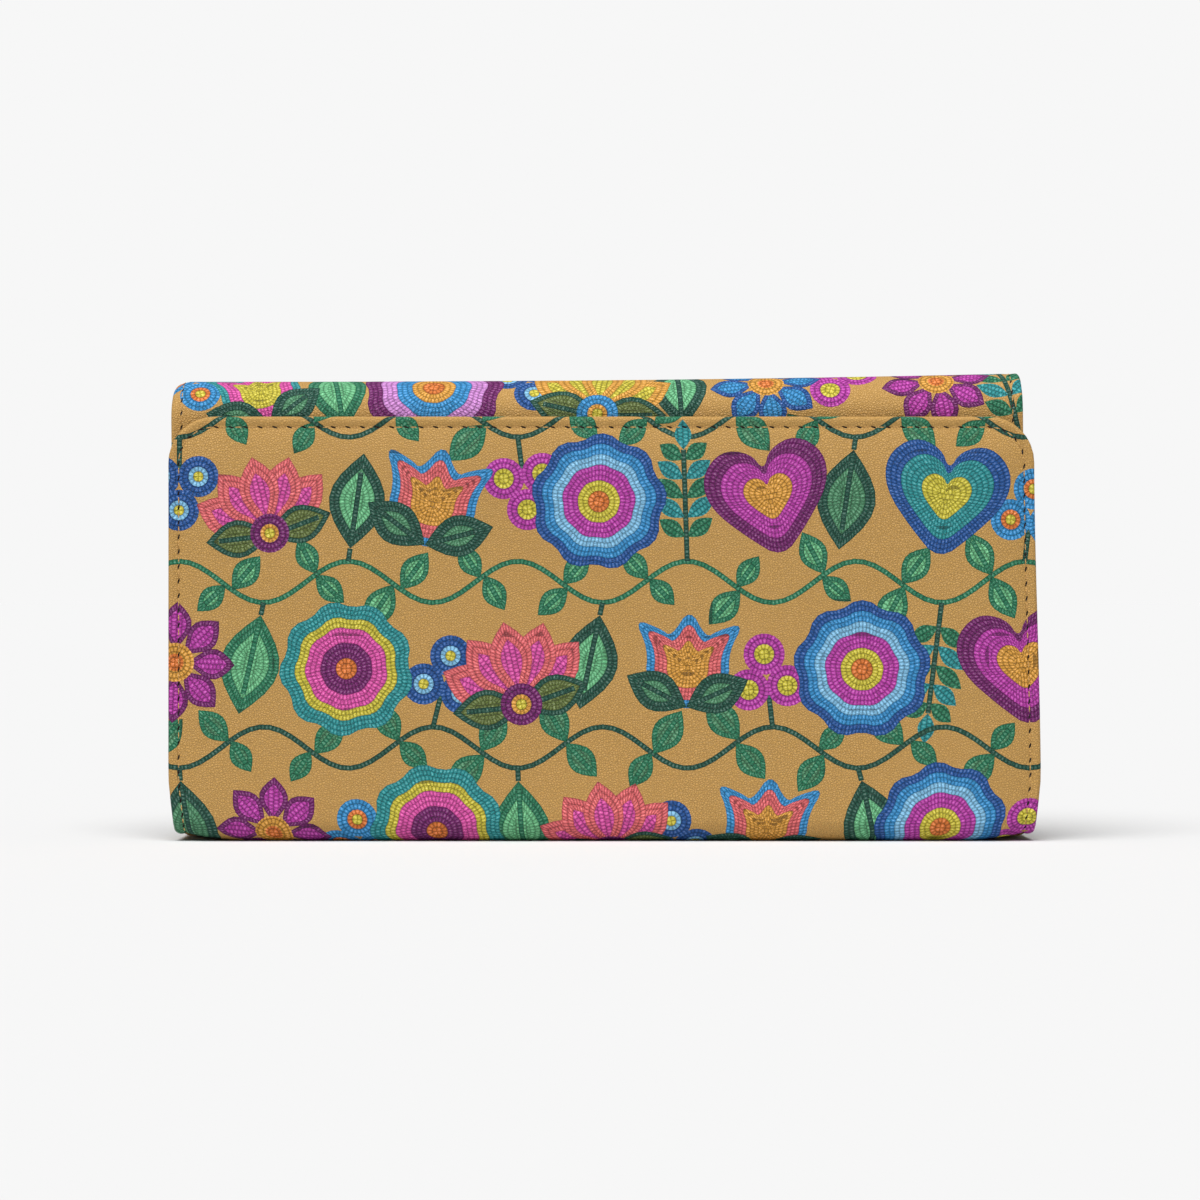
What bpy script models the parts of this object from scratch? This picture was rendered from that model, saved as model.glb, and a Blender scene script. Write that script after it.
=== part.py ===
# Long three-part wallet, closed and standing on its lower fold, with the flap towards -Y.
#
# One sheet of leather makes the flap, the lower fold, the back, the upper fold and the inner leaf.
# It is cut here along the middle of the lower fold, because the flap swings there.
# Inside it lie stiffening boards and a lining, card slots, a folded coin pocket with a zip at its
# mouth, two bellows gussets and a magnetic snap. Metres, +Z up, X along the wallet.

import math

import bmesh
import bpy
from mathutils import Vector

# Overall sizes
LENGTH = 0.190  # of the flap, end to end
HEIGHT = 0.10135  # to the upper fold, at mid length
DEPTH = 0.0285  # flap face to back face
FLAP_DROP = 0.00885  # from the upper fold to the flap's free edge
LEAF_BOTTOM = 0.008  # free edge of the inner leaf above the ground

# Sheets that the walls are made of
LEATHER = 0.0008
BOARD = 0.0007
LINING = 0.0005
SLOT_SHEET = 0.0005
POCKET_SHEET = 0.0008
GUSSET_SHEET = 0.0005
TAPE_SHEET = 0.0004
LAYER_GAP = 0.0003  # between sheets that lie on each other

# Folds, edges and corners
FOLD_RADIUS = 0.005  # outer radius of the lower folds
TOP_FOLD_RADIUS = 0.009  # outer radius of the upper folds
FLAP_CORNER = 0.010
LEAF_CORNER = 0.004
BOARD_CORNER = 0.003
HEM = 0.0010  # leather turned round the edge
HEM_SLOPE = 0.0001
SEAM_GAP = 0.0003  # between flap and shell in the lower fold
FOLD_WAIST = 0.0012  # each end is cut in by this much at the lower fold
FOLD_WAIST_TOP = 0.015  # the cut-in fades out at this height
CORNER_LIFT = 0.0009  # the ends of the lower fold curl up
CORNER_LIFT_LENGTH = 0.012
CORNER_LIFT_TOP = 0.015

# The shell sits a little askew in the flap
SHELL_INSET_LEFT = 0.0008  # from the flap's end to the shell's
SHELL_INSET_RIGHT = 0.0017
TOP_RISE = 0.0015  # the upper fold is higher at the right end
TOP_SHIFT = 0.0008  # and lies this far to the left

# Boards stop short of the folds, so that these can bend
BOARD_FOLD = 0.0015

# Magnetic snap
SNAP_DROP = 0.0125  # centre below the flap's free edge
SNAP_RADIUS = 0.0070
SNAP_PLATE = 0.0005
SNAP_CASE_HEIGHT = 0.0016
SNAP_CASE_WALL = 0.0005
SNAP_CASE_FLOOR = 0.0004
SNAP_MAGNET = 0.0008
SNAP_SOCKET_RADIUS = 0.0034
SNAP_STUD_RADIUS = 0.0029
SNAP_STUD_LENGTH = 0.0010
SNAP_WASHER_RADIUS = 0.0080
SNAP_CLEARANCE = 0.0003

# Card slots
SLOT_END = 0.0030  # from the wall's end to the slot sheets
SLOT_RISE = 0.0040  # from the leaf's free edge to the seam that closes the slots
SLOT_STEP = 0.0120  # from one mouth to the next
LEAF_SLOTS = 3
LEAF_SLOT_DROP = 0.03135  # from the upper fold to the highest mouth
FLAP_SLOTS = 2
FLAP_SLOT_DROP = 0.0305  # from the flap's free edge to the highest mouth

# Coin pocket, bill compartment and gussets
CARD_FOLD_GAP = 0.0046  # inner leaf to coin pocket
COIN_GAP = 0.0046  # inside the coin pocket
POCKET_BOTTOM = 0.0170
POCKET_DROP = 0.01335  # from the upper fold to the pocket's fold
POCKET_INSET = 0.0050  # from the flap's end to the pocket's
GUSSET_DEPTH = 0.0100  # how far the bellows folds in
GUSSET_RISE = 0.0010  # from the pocket's mouth to the gusset
GUSSET_DROP = 0.0020  # from the pocket's fold to the gusset

# Zip
ZIP_INSET = 0.0100  # from the pocket's end to the rows
ZIP_DROP = 0.0030  # rows below the pocket's mouth
ZIP_ROW_WIDTH = 0.0012
ZIP_ROW_HEIGHT = 0.0016
ZIP_ROW_GAP = 0.0014  # the slider's wedge passes here
ZIP_TAPE_HEIGHT = 0.0120
ZIP_STOP_LENGTH = 0.0016
ZIP_CLEARANCE = 0.0003
SLIDER_LENGTH = 0.0090
SLIDER_PLATE = 0.0011
SLIDER_FLANGE = 0.0009
SLIDER_WEDGE_LENGTH = 0.0020
SLIDER_WEDGE_INSET = 0.0003  # from the slider's end
BRIDGE_BAR = 0.0008
BRIDGE_GAP = 0.0017
BRIDGE_LENGTH = 0.0060
BRIDGE_WIDTH = 0.0016
PULL_SHEET = 0.0010
PULL_ARM = 0.0012
PULL_PIN = 0.0010
PULL_EYE = 0.0060
PULL_LENGTH = 0.0240
PULL_CORNER = 0.0018

# Steps of the curved stretches
FOLD_STEPS = 10
CORNER_STEPS = 7
ROUND_STEPS = 40

# Sizes that follow from the ones above
WALL = LEATHER + LAYER_GAP + BOARD + LAYER_GAP + LINING
LINING_DEPTH = WALL - LINING
BOARD_DEPTH = LEATHER + LAYER_GAP
SLOT_PITCH = SLOT_SHEET + LAYER_GAP
EDGE_CLEAR = HEM + HEM_SLOPE + LAYER_GAP
SHELL_LEFT = LENGTH / 2 - SHELL_INSET_LEFT
SHELL_RIGHT = LENGTH / 2 - SHELL_INSET_RIGHT
FLAP_TOP = HEIGHT - FLAP_DROP
BOARD_BOTTOM = FOLD_WAIST_TOP
POCKET_TOP = HEIGHT - POCKET_DROP
POCKET_HALF = LENGTH / 2 - POCKET_INSET
ZIP_HALF = POCKET_HALF - ZIP_INSET
FLAP_FACE = -DEPTH / 2
BACK_FACE = DEPTH / 2
FLAP_INSIDE = FLAP_FACE + WALL
SNAP_STACK = SNAP_CASE_HEIGHT + SNAP_PLATE + 3 * SNAP_CLEARANCE
FLAP_GAP = max(SNAP_STACK, FLAP_SLOTS * SLOT_PITCH + LAYER_GAP)
LEAF_FACE = FLAP_INSIDE + FLAP_GAP
LEAF_INSIDE = LEAF_FACE + WALL
BACK_INSIDE = BACK_FACE - WALL
POCKET_NEAR = LEAF_INSIDE + LEAF_SLOTS * SLOT_PITCH + CARD_FOLD_GAP
POCKET_FAR = POCKET_NEAR + 2 * POCKET_SHEET + COIN_GAP
POCKET_MIDDLE = (POCKET_NEAR + POCKET_FAR) / 2
SNAP_Z = FLAP_TOP - SNAP_DROP
HINGE_INSET = FOLD_RADIUS * (1 - math.pi / 4)
HINGE = Vector((0, FLAP_FACE + HINGE_INSET, HINGE_INSET))
ZIP_ROW_TOP = POCKET_BOTTOM - ZIP_DROP
ZIP_ROW_BOTTOM = ZIP_ROW_TOP - ZIP_ROW_HEIGHT
ZIP_ROW_INNER = ZIP_ROW_GAP / 2
ZIP_ROW_OUTER = ZIP_ROW_INNER + ZIP_ROW_WIDTH
SLIDER_BOTTOM = ZIP_ROW_BOTTOM - ZIP_CLEARANCE - SLIDER_PLATE
RUNNER = Vector((ZIP_HALF - SLIDER_LENGTH / 2 - ZIP_CLEARANCE, POCKET_MIDDLE, SLIDER_BOTTOM))
SEAM_DEGREES = math.degrees(SEAM_GAP / 2 / FOLD_RADIUS)
TINY = 1e-6


def clear_scene():
    for thing in list(bpy.data.objects):
        bpy.data.objects.remove(thing, do_unlink=True)


# Materials

def finish_of(name, colour, roughness, metallic=0.0):
    material = bpy.data.materials.get(name) or bpy.data.materials.new(name)
    material.use_nodes = True
    shader = material.node_tree.nodes["Principled BSDF"]
    shader.inputs["Base Color"].default_value = (*colour, 1.0)
    shader.inputs["Roughness"].default_value = roughness
    shader.inputs["Metallic"].default_value = metallic
    return material


def printed_leather():
    return finish_of("printed_leather", (0.50, 0.29, 0.095), 0.5)


def lining_leather():
    return finish_of("lining_leather", (0.075, 0.040, 0.022), 0.6)


def pocket_cloth():
    return finish_of("pocket_cloth", (0.24, 0.15, 0.075), 0.85)


def stiff_board():
    return finish_of("stiff_board", (0.45, 0.40, 0.32), 0.9)


def zip_cloth():
    return finish_of("zip_cloth", (0.10, 0.055, 0.03), 0.8)


def warm_metal():
    return finish_of("warm_metal", (0.70, 0.52, 0.28), 0.3, 1.0)


def steel():
    return finish_of("steel", (0.55, 0.55, 0.56), 0.35, 1.0)


def dark_magnet():
    return finish_of("dark_magnet", (0.09, 0.09, 0.10), 0.5, 0.6)


# Objects

def add_object(name, bm, material, parent=None, smooth=False):
    """Makes the object from world coordinates. With a parent empty, its origin is there."""
    mesh = bpy.data.meshes.new(name)
    origin = parent.location if parent else Vector((0, 0, 0))
    bmesh.ops.translate(bm, vec=-origin, verts=bm.verts)
    bm.to_mesh(mesh)
    bm.free()
    mesh.materials.append(material)
    if smooth:
        mesh.shade_smooth()
        mesh.set_sharp_from_angle(angle=math.radians(40))
    thing = bpy.data.objects.new(name, mesh)
    bpy.context.scene.collection.objects.link(thing)
    thing.parent = parent
    return thing


def add_empty(name, place):
    empty = bpy.data.objects.new(name, None)
    empty.location = place
    bpy.context.scene.collection.objects.link(empty)
    return empty


# How the wallet stands: its lower corners curl up, and the shell leans a little

def fade(value, full, none):
    """1 at full, 0 at none, smooth between."""
    t = min(1.0, max(0.0, (value - none) / (full - none)))
    return t * t * (3 - 2 * t)


def lifted(x, z):
    end = LENGTH / 2 - FOLD_WAIST
    return CORNER_LIFT * fade(abs(x), end, end - CORNER_LIFT_LENGTH) * fade(z, 0.0, CORNER_LIFT_TOP)


def leaned(x, z):
    return x - TOP_SHIFT * z / HEIGHT, z * (1 + TOP_RISE * x / (LENGTH * HEIGHT))


def settle(bm, skewed):
    for vertex in bm.verts:
        x, z = vertex.co.x, vertex.co.z
        z += lifted(x, z)
        if skewed:
            x, z = leaned(x, z)
        vertex.co.x = x
        vertex.co.z = z


# Ends of the sheets, from the fold line's place (y, z) to the lowest and highest x

def rounded_off(down, radius):
    """How much a rounded corner takes off, at a distance down from the free edge."""
    if down >= radius:
        return 0.0
    return radius - math.sqrt(max(0.0, radius**2 - (radius - down) ** 2))


def flap_ends(inset):
    def ends(y, z):
        half = LENGTH / 2 - FOLD_WAIST * fade(z, 0.0, FOLD_WAIST_TOP) - inset
        half -= rounded_off(FLAP_TOP - inset - z, FLAP_CORNER - inset)
        return -half, half

    return ends


def on_leaf(y, z):
    return z > LEAF_BOTTOM - TINY and LEAF_FACE - TINY < y < LEAF_INSIDE + TINY


def shell_ends(inset):
    def ends(y, z):
        low, high = -SHELL_LEFT, SHELL_RIGHT
        if on_leaf(y, z):
            corner = rounded_off(z - LEAF_BOTTOM - inset, LEAF_CORNER - inset)
            return low + inset + corner, high - inset - corner
        lower = fade(z, 0.0, FOLD_WAIST_TOP)
        fold_half = LENGTH / 2 - FOLD_WAIST
        low += (-fold_half - low) * lower
        high += (fold_half - high) * lower
        return low + inset, high - inset

    return ends


# Folded lines in the YZ plane

def follow(place, heading, moves, inset=0.0):
    """Points along a folded line. place is on the outer face, and heading is in degrees from +Y.

    A move is ("run", distances along it) or ("turn", outer radius, degrees). inset goes inward.
    """
    angle = math.radians(heading)
    y = place[0] - inset * math.sin(angle)
    z = place[1] + inset * math.cos(angle)
    points = [(y, z)]
    for move in moves:
        if move[0] == "run":
            for distance in move[1]:
                points.append((y + distance * math.cos(angle), z + distance * math.sin(angle)))
        else:
            radius = move[1] - inset
            steps = max(2, round(FOLD_STEPS * move[2] / 90))
            centre = (y - radius * math.sin(angle), z + radius * math.cos(angle))
            for step in range(1, steps + 1):
                a = angle + math.radians(move[2]) * step / steps
                points.append((centre[0] + radius * math.sin(a), centre[1] - radius * math.cos(a)))
            angle += math.radians(move[2])
        y, z = points[-1]
    return points


def free_edge(radius, hemmed):
    """Distances of the rows that a free edge with rounded corners needs."""
    rows = [radius * (1 - math.cos(math.pi / 2 * step / CORNER_STEPS)) for step in range(1, CORNER_STEPS + 1)]
    if hemmed:
        rows = [row for row in rows if abs(row - HEM) > LAYER_GAP] + [HEM, HEM + HEM_SLOPE]
    return sorted(rows)


def flap_line(short=0.0, hemmed=False):
    """From the flap's free edge down to the middle of the lower fold, at any depth."""
    length = FLAP_TOP - FOLD_RADIUS - short
    low = FLAP_TOP - short - CORNER_LIFT_TOP
    rows = free_edge(FLAP_CORNER - short, hemmed) + [low, (low + length) / 2, length]
    moves = [("run", rows), ("turn", FOLD_RADIUS, 45 - SEAM_DEGREES)]
    return lambda depth: follow((FLAP_FACE, FLAP_TOP - short), -90, moves, depth)


def shell_line(short=0.0, hemmed=False):
    """From the middle of the lower fold, under, up the back, over the top and down the leaf."""
    start = math.radians(-45 + SEAM_DEGREES)
    y = FLAP_FACE + FOLD_RADIUS * (1 + math.sin(start))
    z = FOLD_RADIUS * (1 - math.cos(start))
    back = HEIGHT - FOLD_RADIUS - TOP_FOLD_RADIUS
    low = CORNER_LIFT_TOP - FOLD_RADIUS
    leaf = HEIGHT - TOP_FOLD_RADIUS - LEAF_BOTTOM - short
    rows = [leaf - row for row in reversed(free_edge(LEAF_CORNER - short, hemmed))] + [leaf]
    moves = [
        ("turn", FOLD_RADIUS, 45 - SEAM_DEGREES),
        ("run", [DEPTH - 2 * FOLD_RADIUS]),
        ("turn", FOLD_RADIUS, 90),
        ("run", [low / 2, low, back]),
        ("turn", TOP_FOLD_RADIUS, 90),
        ("run", [BACK_FACE - LEAF_FACE - 2 * TOP_FOLD_RADIUS]),
        ("turn", TOP_FOLD_RADIUS, 90),
        ("run", rows),
    ]
    return lambda depth: follow((y, z), math.degrees(start), moves, depth)


# Sheets

def sheet(name, line, ends, depth, thickness, material, full=None, hem_rows=(), skewed=False, parent=None):
    """A sheet along a folded line, between the ends that ends(y, z) gives.

    line(depth) gives the rows of points at a depth below the outer face. full is the thickness
    at the turned edges, and hem_rows lists the rows that are part of them.
    """
    hem_columns = [HEM, HEM + HEM_SLOPE] if full else []
    from_end = [0.0] + hem_columns + [CORNER_LIFT_LENGTH * share for share in (0.35, 0.65, 1.0)]
    columns = 2 * len(from_end)
    outer = line(depth)
    inner = line(depth + thickness)
    hemmed = line(depth + full) if full else inner
    bm = bmesh.new()
    bmesh.ops.create_grid(bm, x_segments=columns - 1, y_segments=len(outer) - 1, size=1.0)
    pulled = bmesh.ops.extrude_face_region(bm, geom=bm.faces[:])["geom"]
    inside = {part for part in pulled if isinstance(part, bmesh.types.BMVert)}
    for vertex in bm.verts:
        column = round((vertex.co.x + 1) / 2 * (columns - 1))
        row = round((vertex.co.y + 1) / 2 * (len(outer) - 1))
        step = min(column, columns - 1 - column)
        in_hem = full and (step < 2 or row in hem_rows)
        rows = outer if vertex not in inside else hemmed if in_hem else inner
        low, high = ends(*outer[row])
        x = high - from_end[step] if column < len(from_end) else low + from_end[step]
        vertex.co = (x, *rows[row])
    bmesh.ops.recalc_face_normals(bm, faces=bm.faces)
    settle(bm, skewed)
    return add_object(name, bm, material, parent)


def plate(name, outline, near, far, material, skewed=False, parent=None):
    """A flat plate: an outline of (x, z) points, from y = near to y = far."""
    bm = bmesh.new()
    face = bm.faces.new([bm.verts.new((x, near, z)) for x, z in outline])
    pulled = bmesh.ops.extrude_face_region(bm, geom=[face])["geom"]
    moved = [v for v in pulled if isinstance(v, bmesh.types.BMVert)]
    bmesh.ops.translate(bm, vec=(0, far - near, 0), verts=moved)
    bmesh.ops.recalc_face_normals(bm, faces=bm.faces)
    settle(bm, skewed)
    return add_object(name, bm, material, parent)


def bar(name, outline, low, high, material, parent=None):
    """A straight bar: an outline of (y, z) points, from x = low to x = high."""
    bm = bmesh.new()
    face = bm.faces.new([bm.verts.new((low, y, z)) for y, z in outline])
    pulled = bmesh.ops.extrude_face_region(bm, geom=[face])["geom"]
    moved = [v for v in pulled if isinstance(v, bmesh.types.BMVert)]
    bmesh.ops.translate(bm, vec=(high - low, 0, 0), verts=moved)
    bmesh.ops.recalc_face_normals(bm, faces=bm.faces)
    return add_object(name, bm, material, parent)


def rounded(low, high, bottom, top, top_radius, bottom_radius):
    """The outline of a rectangle with rounded corners."""
    corners = [
        (high - top_radius, top - top_radius, top_radius, 0),
        (low + top_radius, top - top_radius, top_radius, 90),
        (low + bottom_radius, bottom + bottom_radius, bottom_radius, 180),
        (high - bottom_radius, bottom + bottom_radius, bottom_radius, 270),
    ]
    points = []
    for x, z, radius, start in corners:
        steps = CORNER_STEPS if radius > 0 else 0
        for step in range(steps + 1):
            a = math.radians(start + 90 * step / max(1, steps))
            points.append((x + radius * math.cos(a), z + radius * math.sin(a)))
    return points


def stepped_disc(name, place, steps, material, parent=None):
    """A round piece about an axis along Y. Its face starts at the first (radius, y) and is
    extruded to each next one."""
    bm = bmesh.new()
    rim = bmesh.ops.create_circle(bm, segments=ROUND_STEPS, radius=1.0, cap_ends=True)["verts"]
    for vertex in rim:
        vertex.co = Vector((vertex.co.x * steps[0][0], steps[0][1], vertex.co.y * steps[0][0]))
    face = bm.faces[:][0]
    for number, (radius, y) in enumerate(steps[1:]):
        pulled = bmesh.ops.extrude_face_region(bm, geom=[face])["geom"]
        if number:
            bmesh.ops.delete(bm, geom=[face], context="FACES_ONLY")
        face = next(part for part in pulled if isinstance(part, bmesh.types.BMFace))
        for vertex in face.verts:
            flat = Vector((vertex.co.x, 0, vertex.co.z)).normalized() * radius
            vertex.co = (flat.x, y, flat.z)
    bmesh.ops.recalc_face_normals(bm, faces=bm.faces)
    bmesh.ops.translate(bm, vec=(place.x, 0, place.z), verts=bm.verts)
    return add_object(name, bm, material, parent, smooth=True)


def ring(name, place, inner, outer, near, far, material):
    """A flat ring about an axis along Y."""
    bm = bmesh.new()
    corners = [bm.verts.new((r, y, 0)) for r, y in ((inner, near), (outer, near), (outer, far), (inner, far))]
    edges = [bm.edges.new((corners[i], corners[(i + 1) % 4])) for i in range(4)]
    bmesh.ops.spin(
        bm,
        geom=corners + edges,
        cent=(0, 0, 0),
        axis=(0, 1, 0),
        angle=2 * math.pi,
        steps=ROUND_STEPS,
        use_merge=True,
    )
    bmesh.ops.remove_doubles(bm, verts=bm.verts, dist=TINY)
    bmesh.ops.recalc_face_normals(bm, faces=bm.faces)
    bmesh.ops.translate(bm, vec=(place.x, 0, place.z), verts=bm.verts)
    return add_object(name, bm, material, smooth=True)


def add_block(bm, low, high):
    size = Vector(high) - Vector(low)
    verts = bmesh.ops.create_cube(bm, size=1.0)["verts"]
    bmesh.ops.scale(bm, vec=size, verts=verts)
    bmesh.ops.translate(bm, vec=(Vector(high) + Vector(low)) / 2, verts=verts)


def block(name, low, high, material, skewed=False, parent=None):
    bm = bmesh.new()
    add_block(bm, low, high)
    settle(bm, skewed)
    return add_object(name, bm, material, parent)


def cut(thing, cutter, operation="DIFFERENCE"):
    """Cuts, or joins, a guide object that isn't part of the model itself."""
    cutter.hide_render = True
    cutter.display_type = "WIRE"
    change = thing.modifiers.new(cutter.name, "BOOLEAN")
    change.operation = operation
    change.solver = "EXACT"
    change.object = cutter


# Leather, boards and linings

def snap_place():
    """Both halves of the snap follow the leaf, so that they meet."""
    x, z = leaned(0.0, SNAP_Z)
    return Vector((x, 0, z))


def washer_hole(board, near, far, parent=None):
    """The snap's washer lies in a hole of the board."""
    radius = SNAP_WASHER_RADIUS + LAYER_GAP
    steps = [(radius, near - LAYER_GAP / 2), (radius, far + LAYER_GAP / 2)]
    cutter = stepped_disc(board.name + "_hole", snap_place(), steps, stiff_board(), parent)
    cut(board, cutter)


def add_flap_sheets(hinge):
    hem_rows = [0, *range(1, 1 + sum(row <= HEM + TINY for row in free_edge(FLAP_CORNER, True)))]
    sheet("flap_leather", flap_line(hemmed=True), flap_ends(0.0), 0.0, LEATHER, printed_leather(),
          full=WALL, hem_rows=hem_rows, parent=hinge)
    sheet("flap_lining", flap_line(short=EDGE_CLEAR), flap_ends(EDGE_CLEAR), LINING_DEPTH, LINING,
          lining_leather(), parent=hinge)
    half = LENGTH / 2 - EDGE_CLEAR
    top = FLAP_TOP - EDGE_CLEAR
    outline = rounded(-half, half, BOARD_BOTTOM, top, FLAP_CORNER - EDGE_CLEAR, BOARD_CORNER)
    near = FLAP_FACE + BOARD_DEPTH
    board = plate("flap_board", outline, near, near + BOARD, stiff_board(), parent=hinge)
    washer_hole(board, near, near + BOARD, hinge)


def add_shell_sheets():
    line = shell_line(hemmed=True)
    rows = len(line(0.0))
    count = 1 + sum(row <= HEM + TINY for row in free_edge(LEAF_CORNER, True))
    sheet("shell_leather", line, shell_ends(0.0), 0.0, LEATHER, printed_leather(),
          full=WALL, hem_rows=range(rows - count, rows), skewed=True)
    sheet("shell_lining", shell_line(short=EDGE_CLEAR), shell_ends(EDGE_CLEAR), LINING_DEPTH, LINING,
          lining_leather(), skewed=True)


def add_shell_boards():
    low = -SHELL_LEFT + EDGE_CLEAR
    high = SHELL_RIGHT - EDGE_CLEAR
    top = HEIGHT - TOP_FOLD_RADIUS - BOARD_FOLD
    back_outline = rounded(low, high, BOARD_BOTTOM, top, BOARD_CORNER, BOARD_CORNER)
    far = BACK_FACE - BOARD_DEPTH
    plate("back_board", back_outline, far - BOARD, far, stiff_board(), skewed=True)
    near = LEAF_FACE + BOARD_DEPTH
    leaf_outline = rounded(low, high, LEAF_BOTTOM + EDGE_CLEAR, top, BOARD_CORNER, BOARD_CORNER)
    leaf = plate("leaf_board", leaf_outline, near, near + BOARD, stiff_board(), skewed=True)
    washer_hole(leaf, near, near + BOARD)
    end = LENGTH / 2 - FOLD_WAIST - CORNER_LIFT_LENGTH
    side = DEPTH / 2 - FOLD_RADIUS
    block("spine_board", (-end, -side, BOARD_DEPTH), (end, side, BOARD_DEPTH + BOARD), stiff_board())


# Card slots on the inner leaf and on the flap

def add_card_slots(hinge):
    for number in range(LEAF_SLOTS):
        near = LEAF_INSIDE + LAYER_GAP + number * SLOT_PITCH
        top = HEIGHT - LEAF_SLOT_DROP - number * SLOT_STEP
        bottom = LEAF_BOTTOM + SLOT_RISE
        outline = rounded(-SHELL_LEFT + SLOT_END, SHELL_RIGHT - SLOT_END, bottom, top, 0, 0)
        name = f"leaf_card_slot_{number + 1}"
        plate(name, outline, near, near + SLOT_SHEET, lining_leather(), skewed=True)
    for number in range(FLAP_SLOTS):
        near = FLAP_INSIDE + LAYER_GAP + number * SLOT_PITCH
        top = FLAP_TOP - FLAP_SLOT_DROP - number * SLOT_STEP
        half = LENGTH / 2 - SLOT_END
        outline = rounded(-half, half, BOARD_BOTTOM, top, 0, 0)
        name = f"flap_card_slot_{number + 1}"
        plate(name, outline, near, near + SLOT_SHEET, lining_leather(), parent=hinge)


# Coin pocket, its zip, and the gussets of the bill compartment

def add_coin_pocket():
    """One sheet folded over at the top, with its mouth down."""
    width = POCKET_FAR - POCKET_NEAR
    radius = width / 2
    run = POCKET_TOP - radius - POCKET_BOTTOM
    moves = [("run", [run]), ("turn", radius, 180), ("run", [run])]

    def line(depth):
        return follow((POCKET_FAR, POCKET_BOTTOM), 90, moves, depth)

    def ends(y, z):
        return -POCKET_HALF, POCKET_HALF

    sheet("coin_pocket", line, ends, 0.0, POCKET_SHEET, pocket_cloth(), skewed=True)


def add_gusset(name, side):
    """A bellows that closes one end of the bill compartment."""
    near = POCKET_FAR + LAYER_GAP
    far = BACK_INSIDE - LAYER_GAP
    bottom = POCKET_BOTTOM + GUSSET_RISE
    height = POCKET_TOP - GUSSET_DROP - bottom
    slant = math.hypot(GUSSET_DEPTH, (far - near) / 2)
    thick = GUSSET_SHEET * slant / ((far - near) / 2)
    outer = POCKET_HALF
    section = [
        (outer, near),
        (outer - GUSSET_DEPTH, (near + far) / 2),
        (outer, far),
        (outer - thick, far),
        (outer - GUSSET_DEPTH - thick, (near + far) / 2),
        (outer - thick, near),
    ]
    bm = bmesh.new()
    face = bm.faces.new([bm.verts.new((side * x, y, bottom)) for x, y in section])
    pulled = bmesh.ops.extrude_face_region(bm, geom=[face])["geom"]
    moved = [v for v in pulled if isinstance(v, bmesh.types.BMVert)]
    bmesh.ops.translate(bm, vec=(0, 0, height), verts=moved)
    bmesh.ops.recalc_face_normals(bm, faces=bm.faces)
    settle(bm, True)
    add_object(name, bm, pocket_cloth())


def add_zip():
    for name, side in (("near", -1), ("far", 1)):
        inner = POCKET_MIDDLE + side * ZIP_ROW_INNER
        outer = POCKET_MIDDLE + side * ZIP_ROW_OUTER
        block(f"zip_row_{name}", (-ZIP_HALF, min(inner, outer), ZIP_ROW_BOTTOM),
              (ZIP_HALF, max(inner, outer), ZIP_ROW_TOP), warm_metal(), skewed=True)
        tape_outer = POCKET_MIDDLE + side * (COIN_GAP / 2 - LAYER_GAP)
        tape = sorted((tape_outer, tape_outer - side * TAPE_SHEET))
        bottom = ZIP_ROW_TOP + ZIP_CLEARANCE
        block(f"zip_tape_{name}", (-POCKET_HALF, tape[0], bottom),
              (POCKET_HALF, tape[1], bottom + ZIP_TAPE_HEIGHT), zip_cloth(), skewed=True)
    for name, side in (("left", -1), ("right", 1)):
        inner = ZIP_HALF + ZIP_CLEARANCE
        ends = sorted((side * inner, side * (inner + ZIP_STOP_LENGTH)))
        block(f"zip_stop_{name}", (ends[0], POCKET_MIDDLE - ZIP_ROW_OUTER, ZIP_ROW_BOTTOM),
              (ends[1], POCKET_MIDDLE + ZIP_ROW_OUTER, ZIP_ROW_TOP), warm_metal(), skewed=True)


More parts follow.
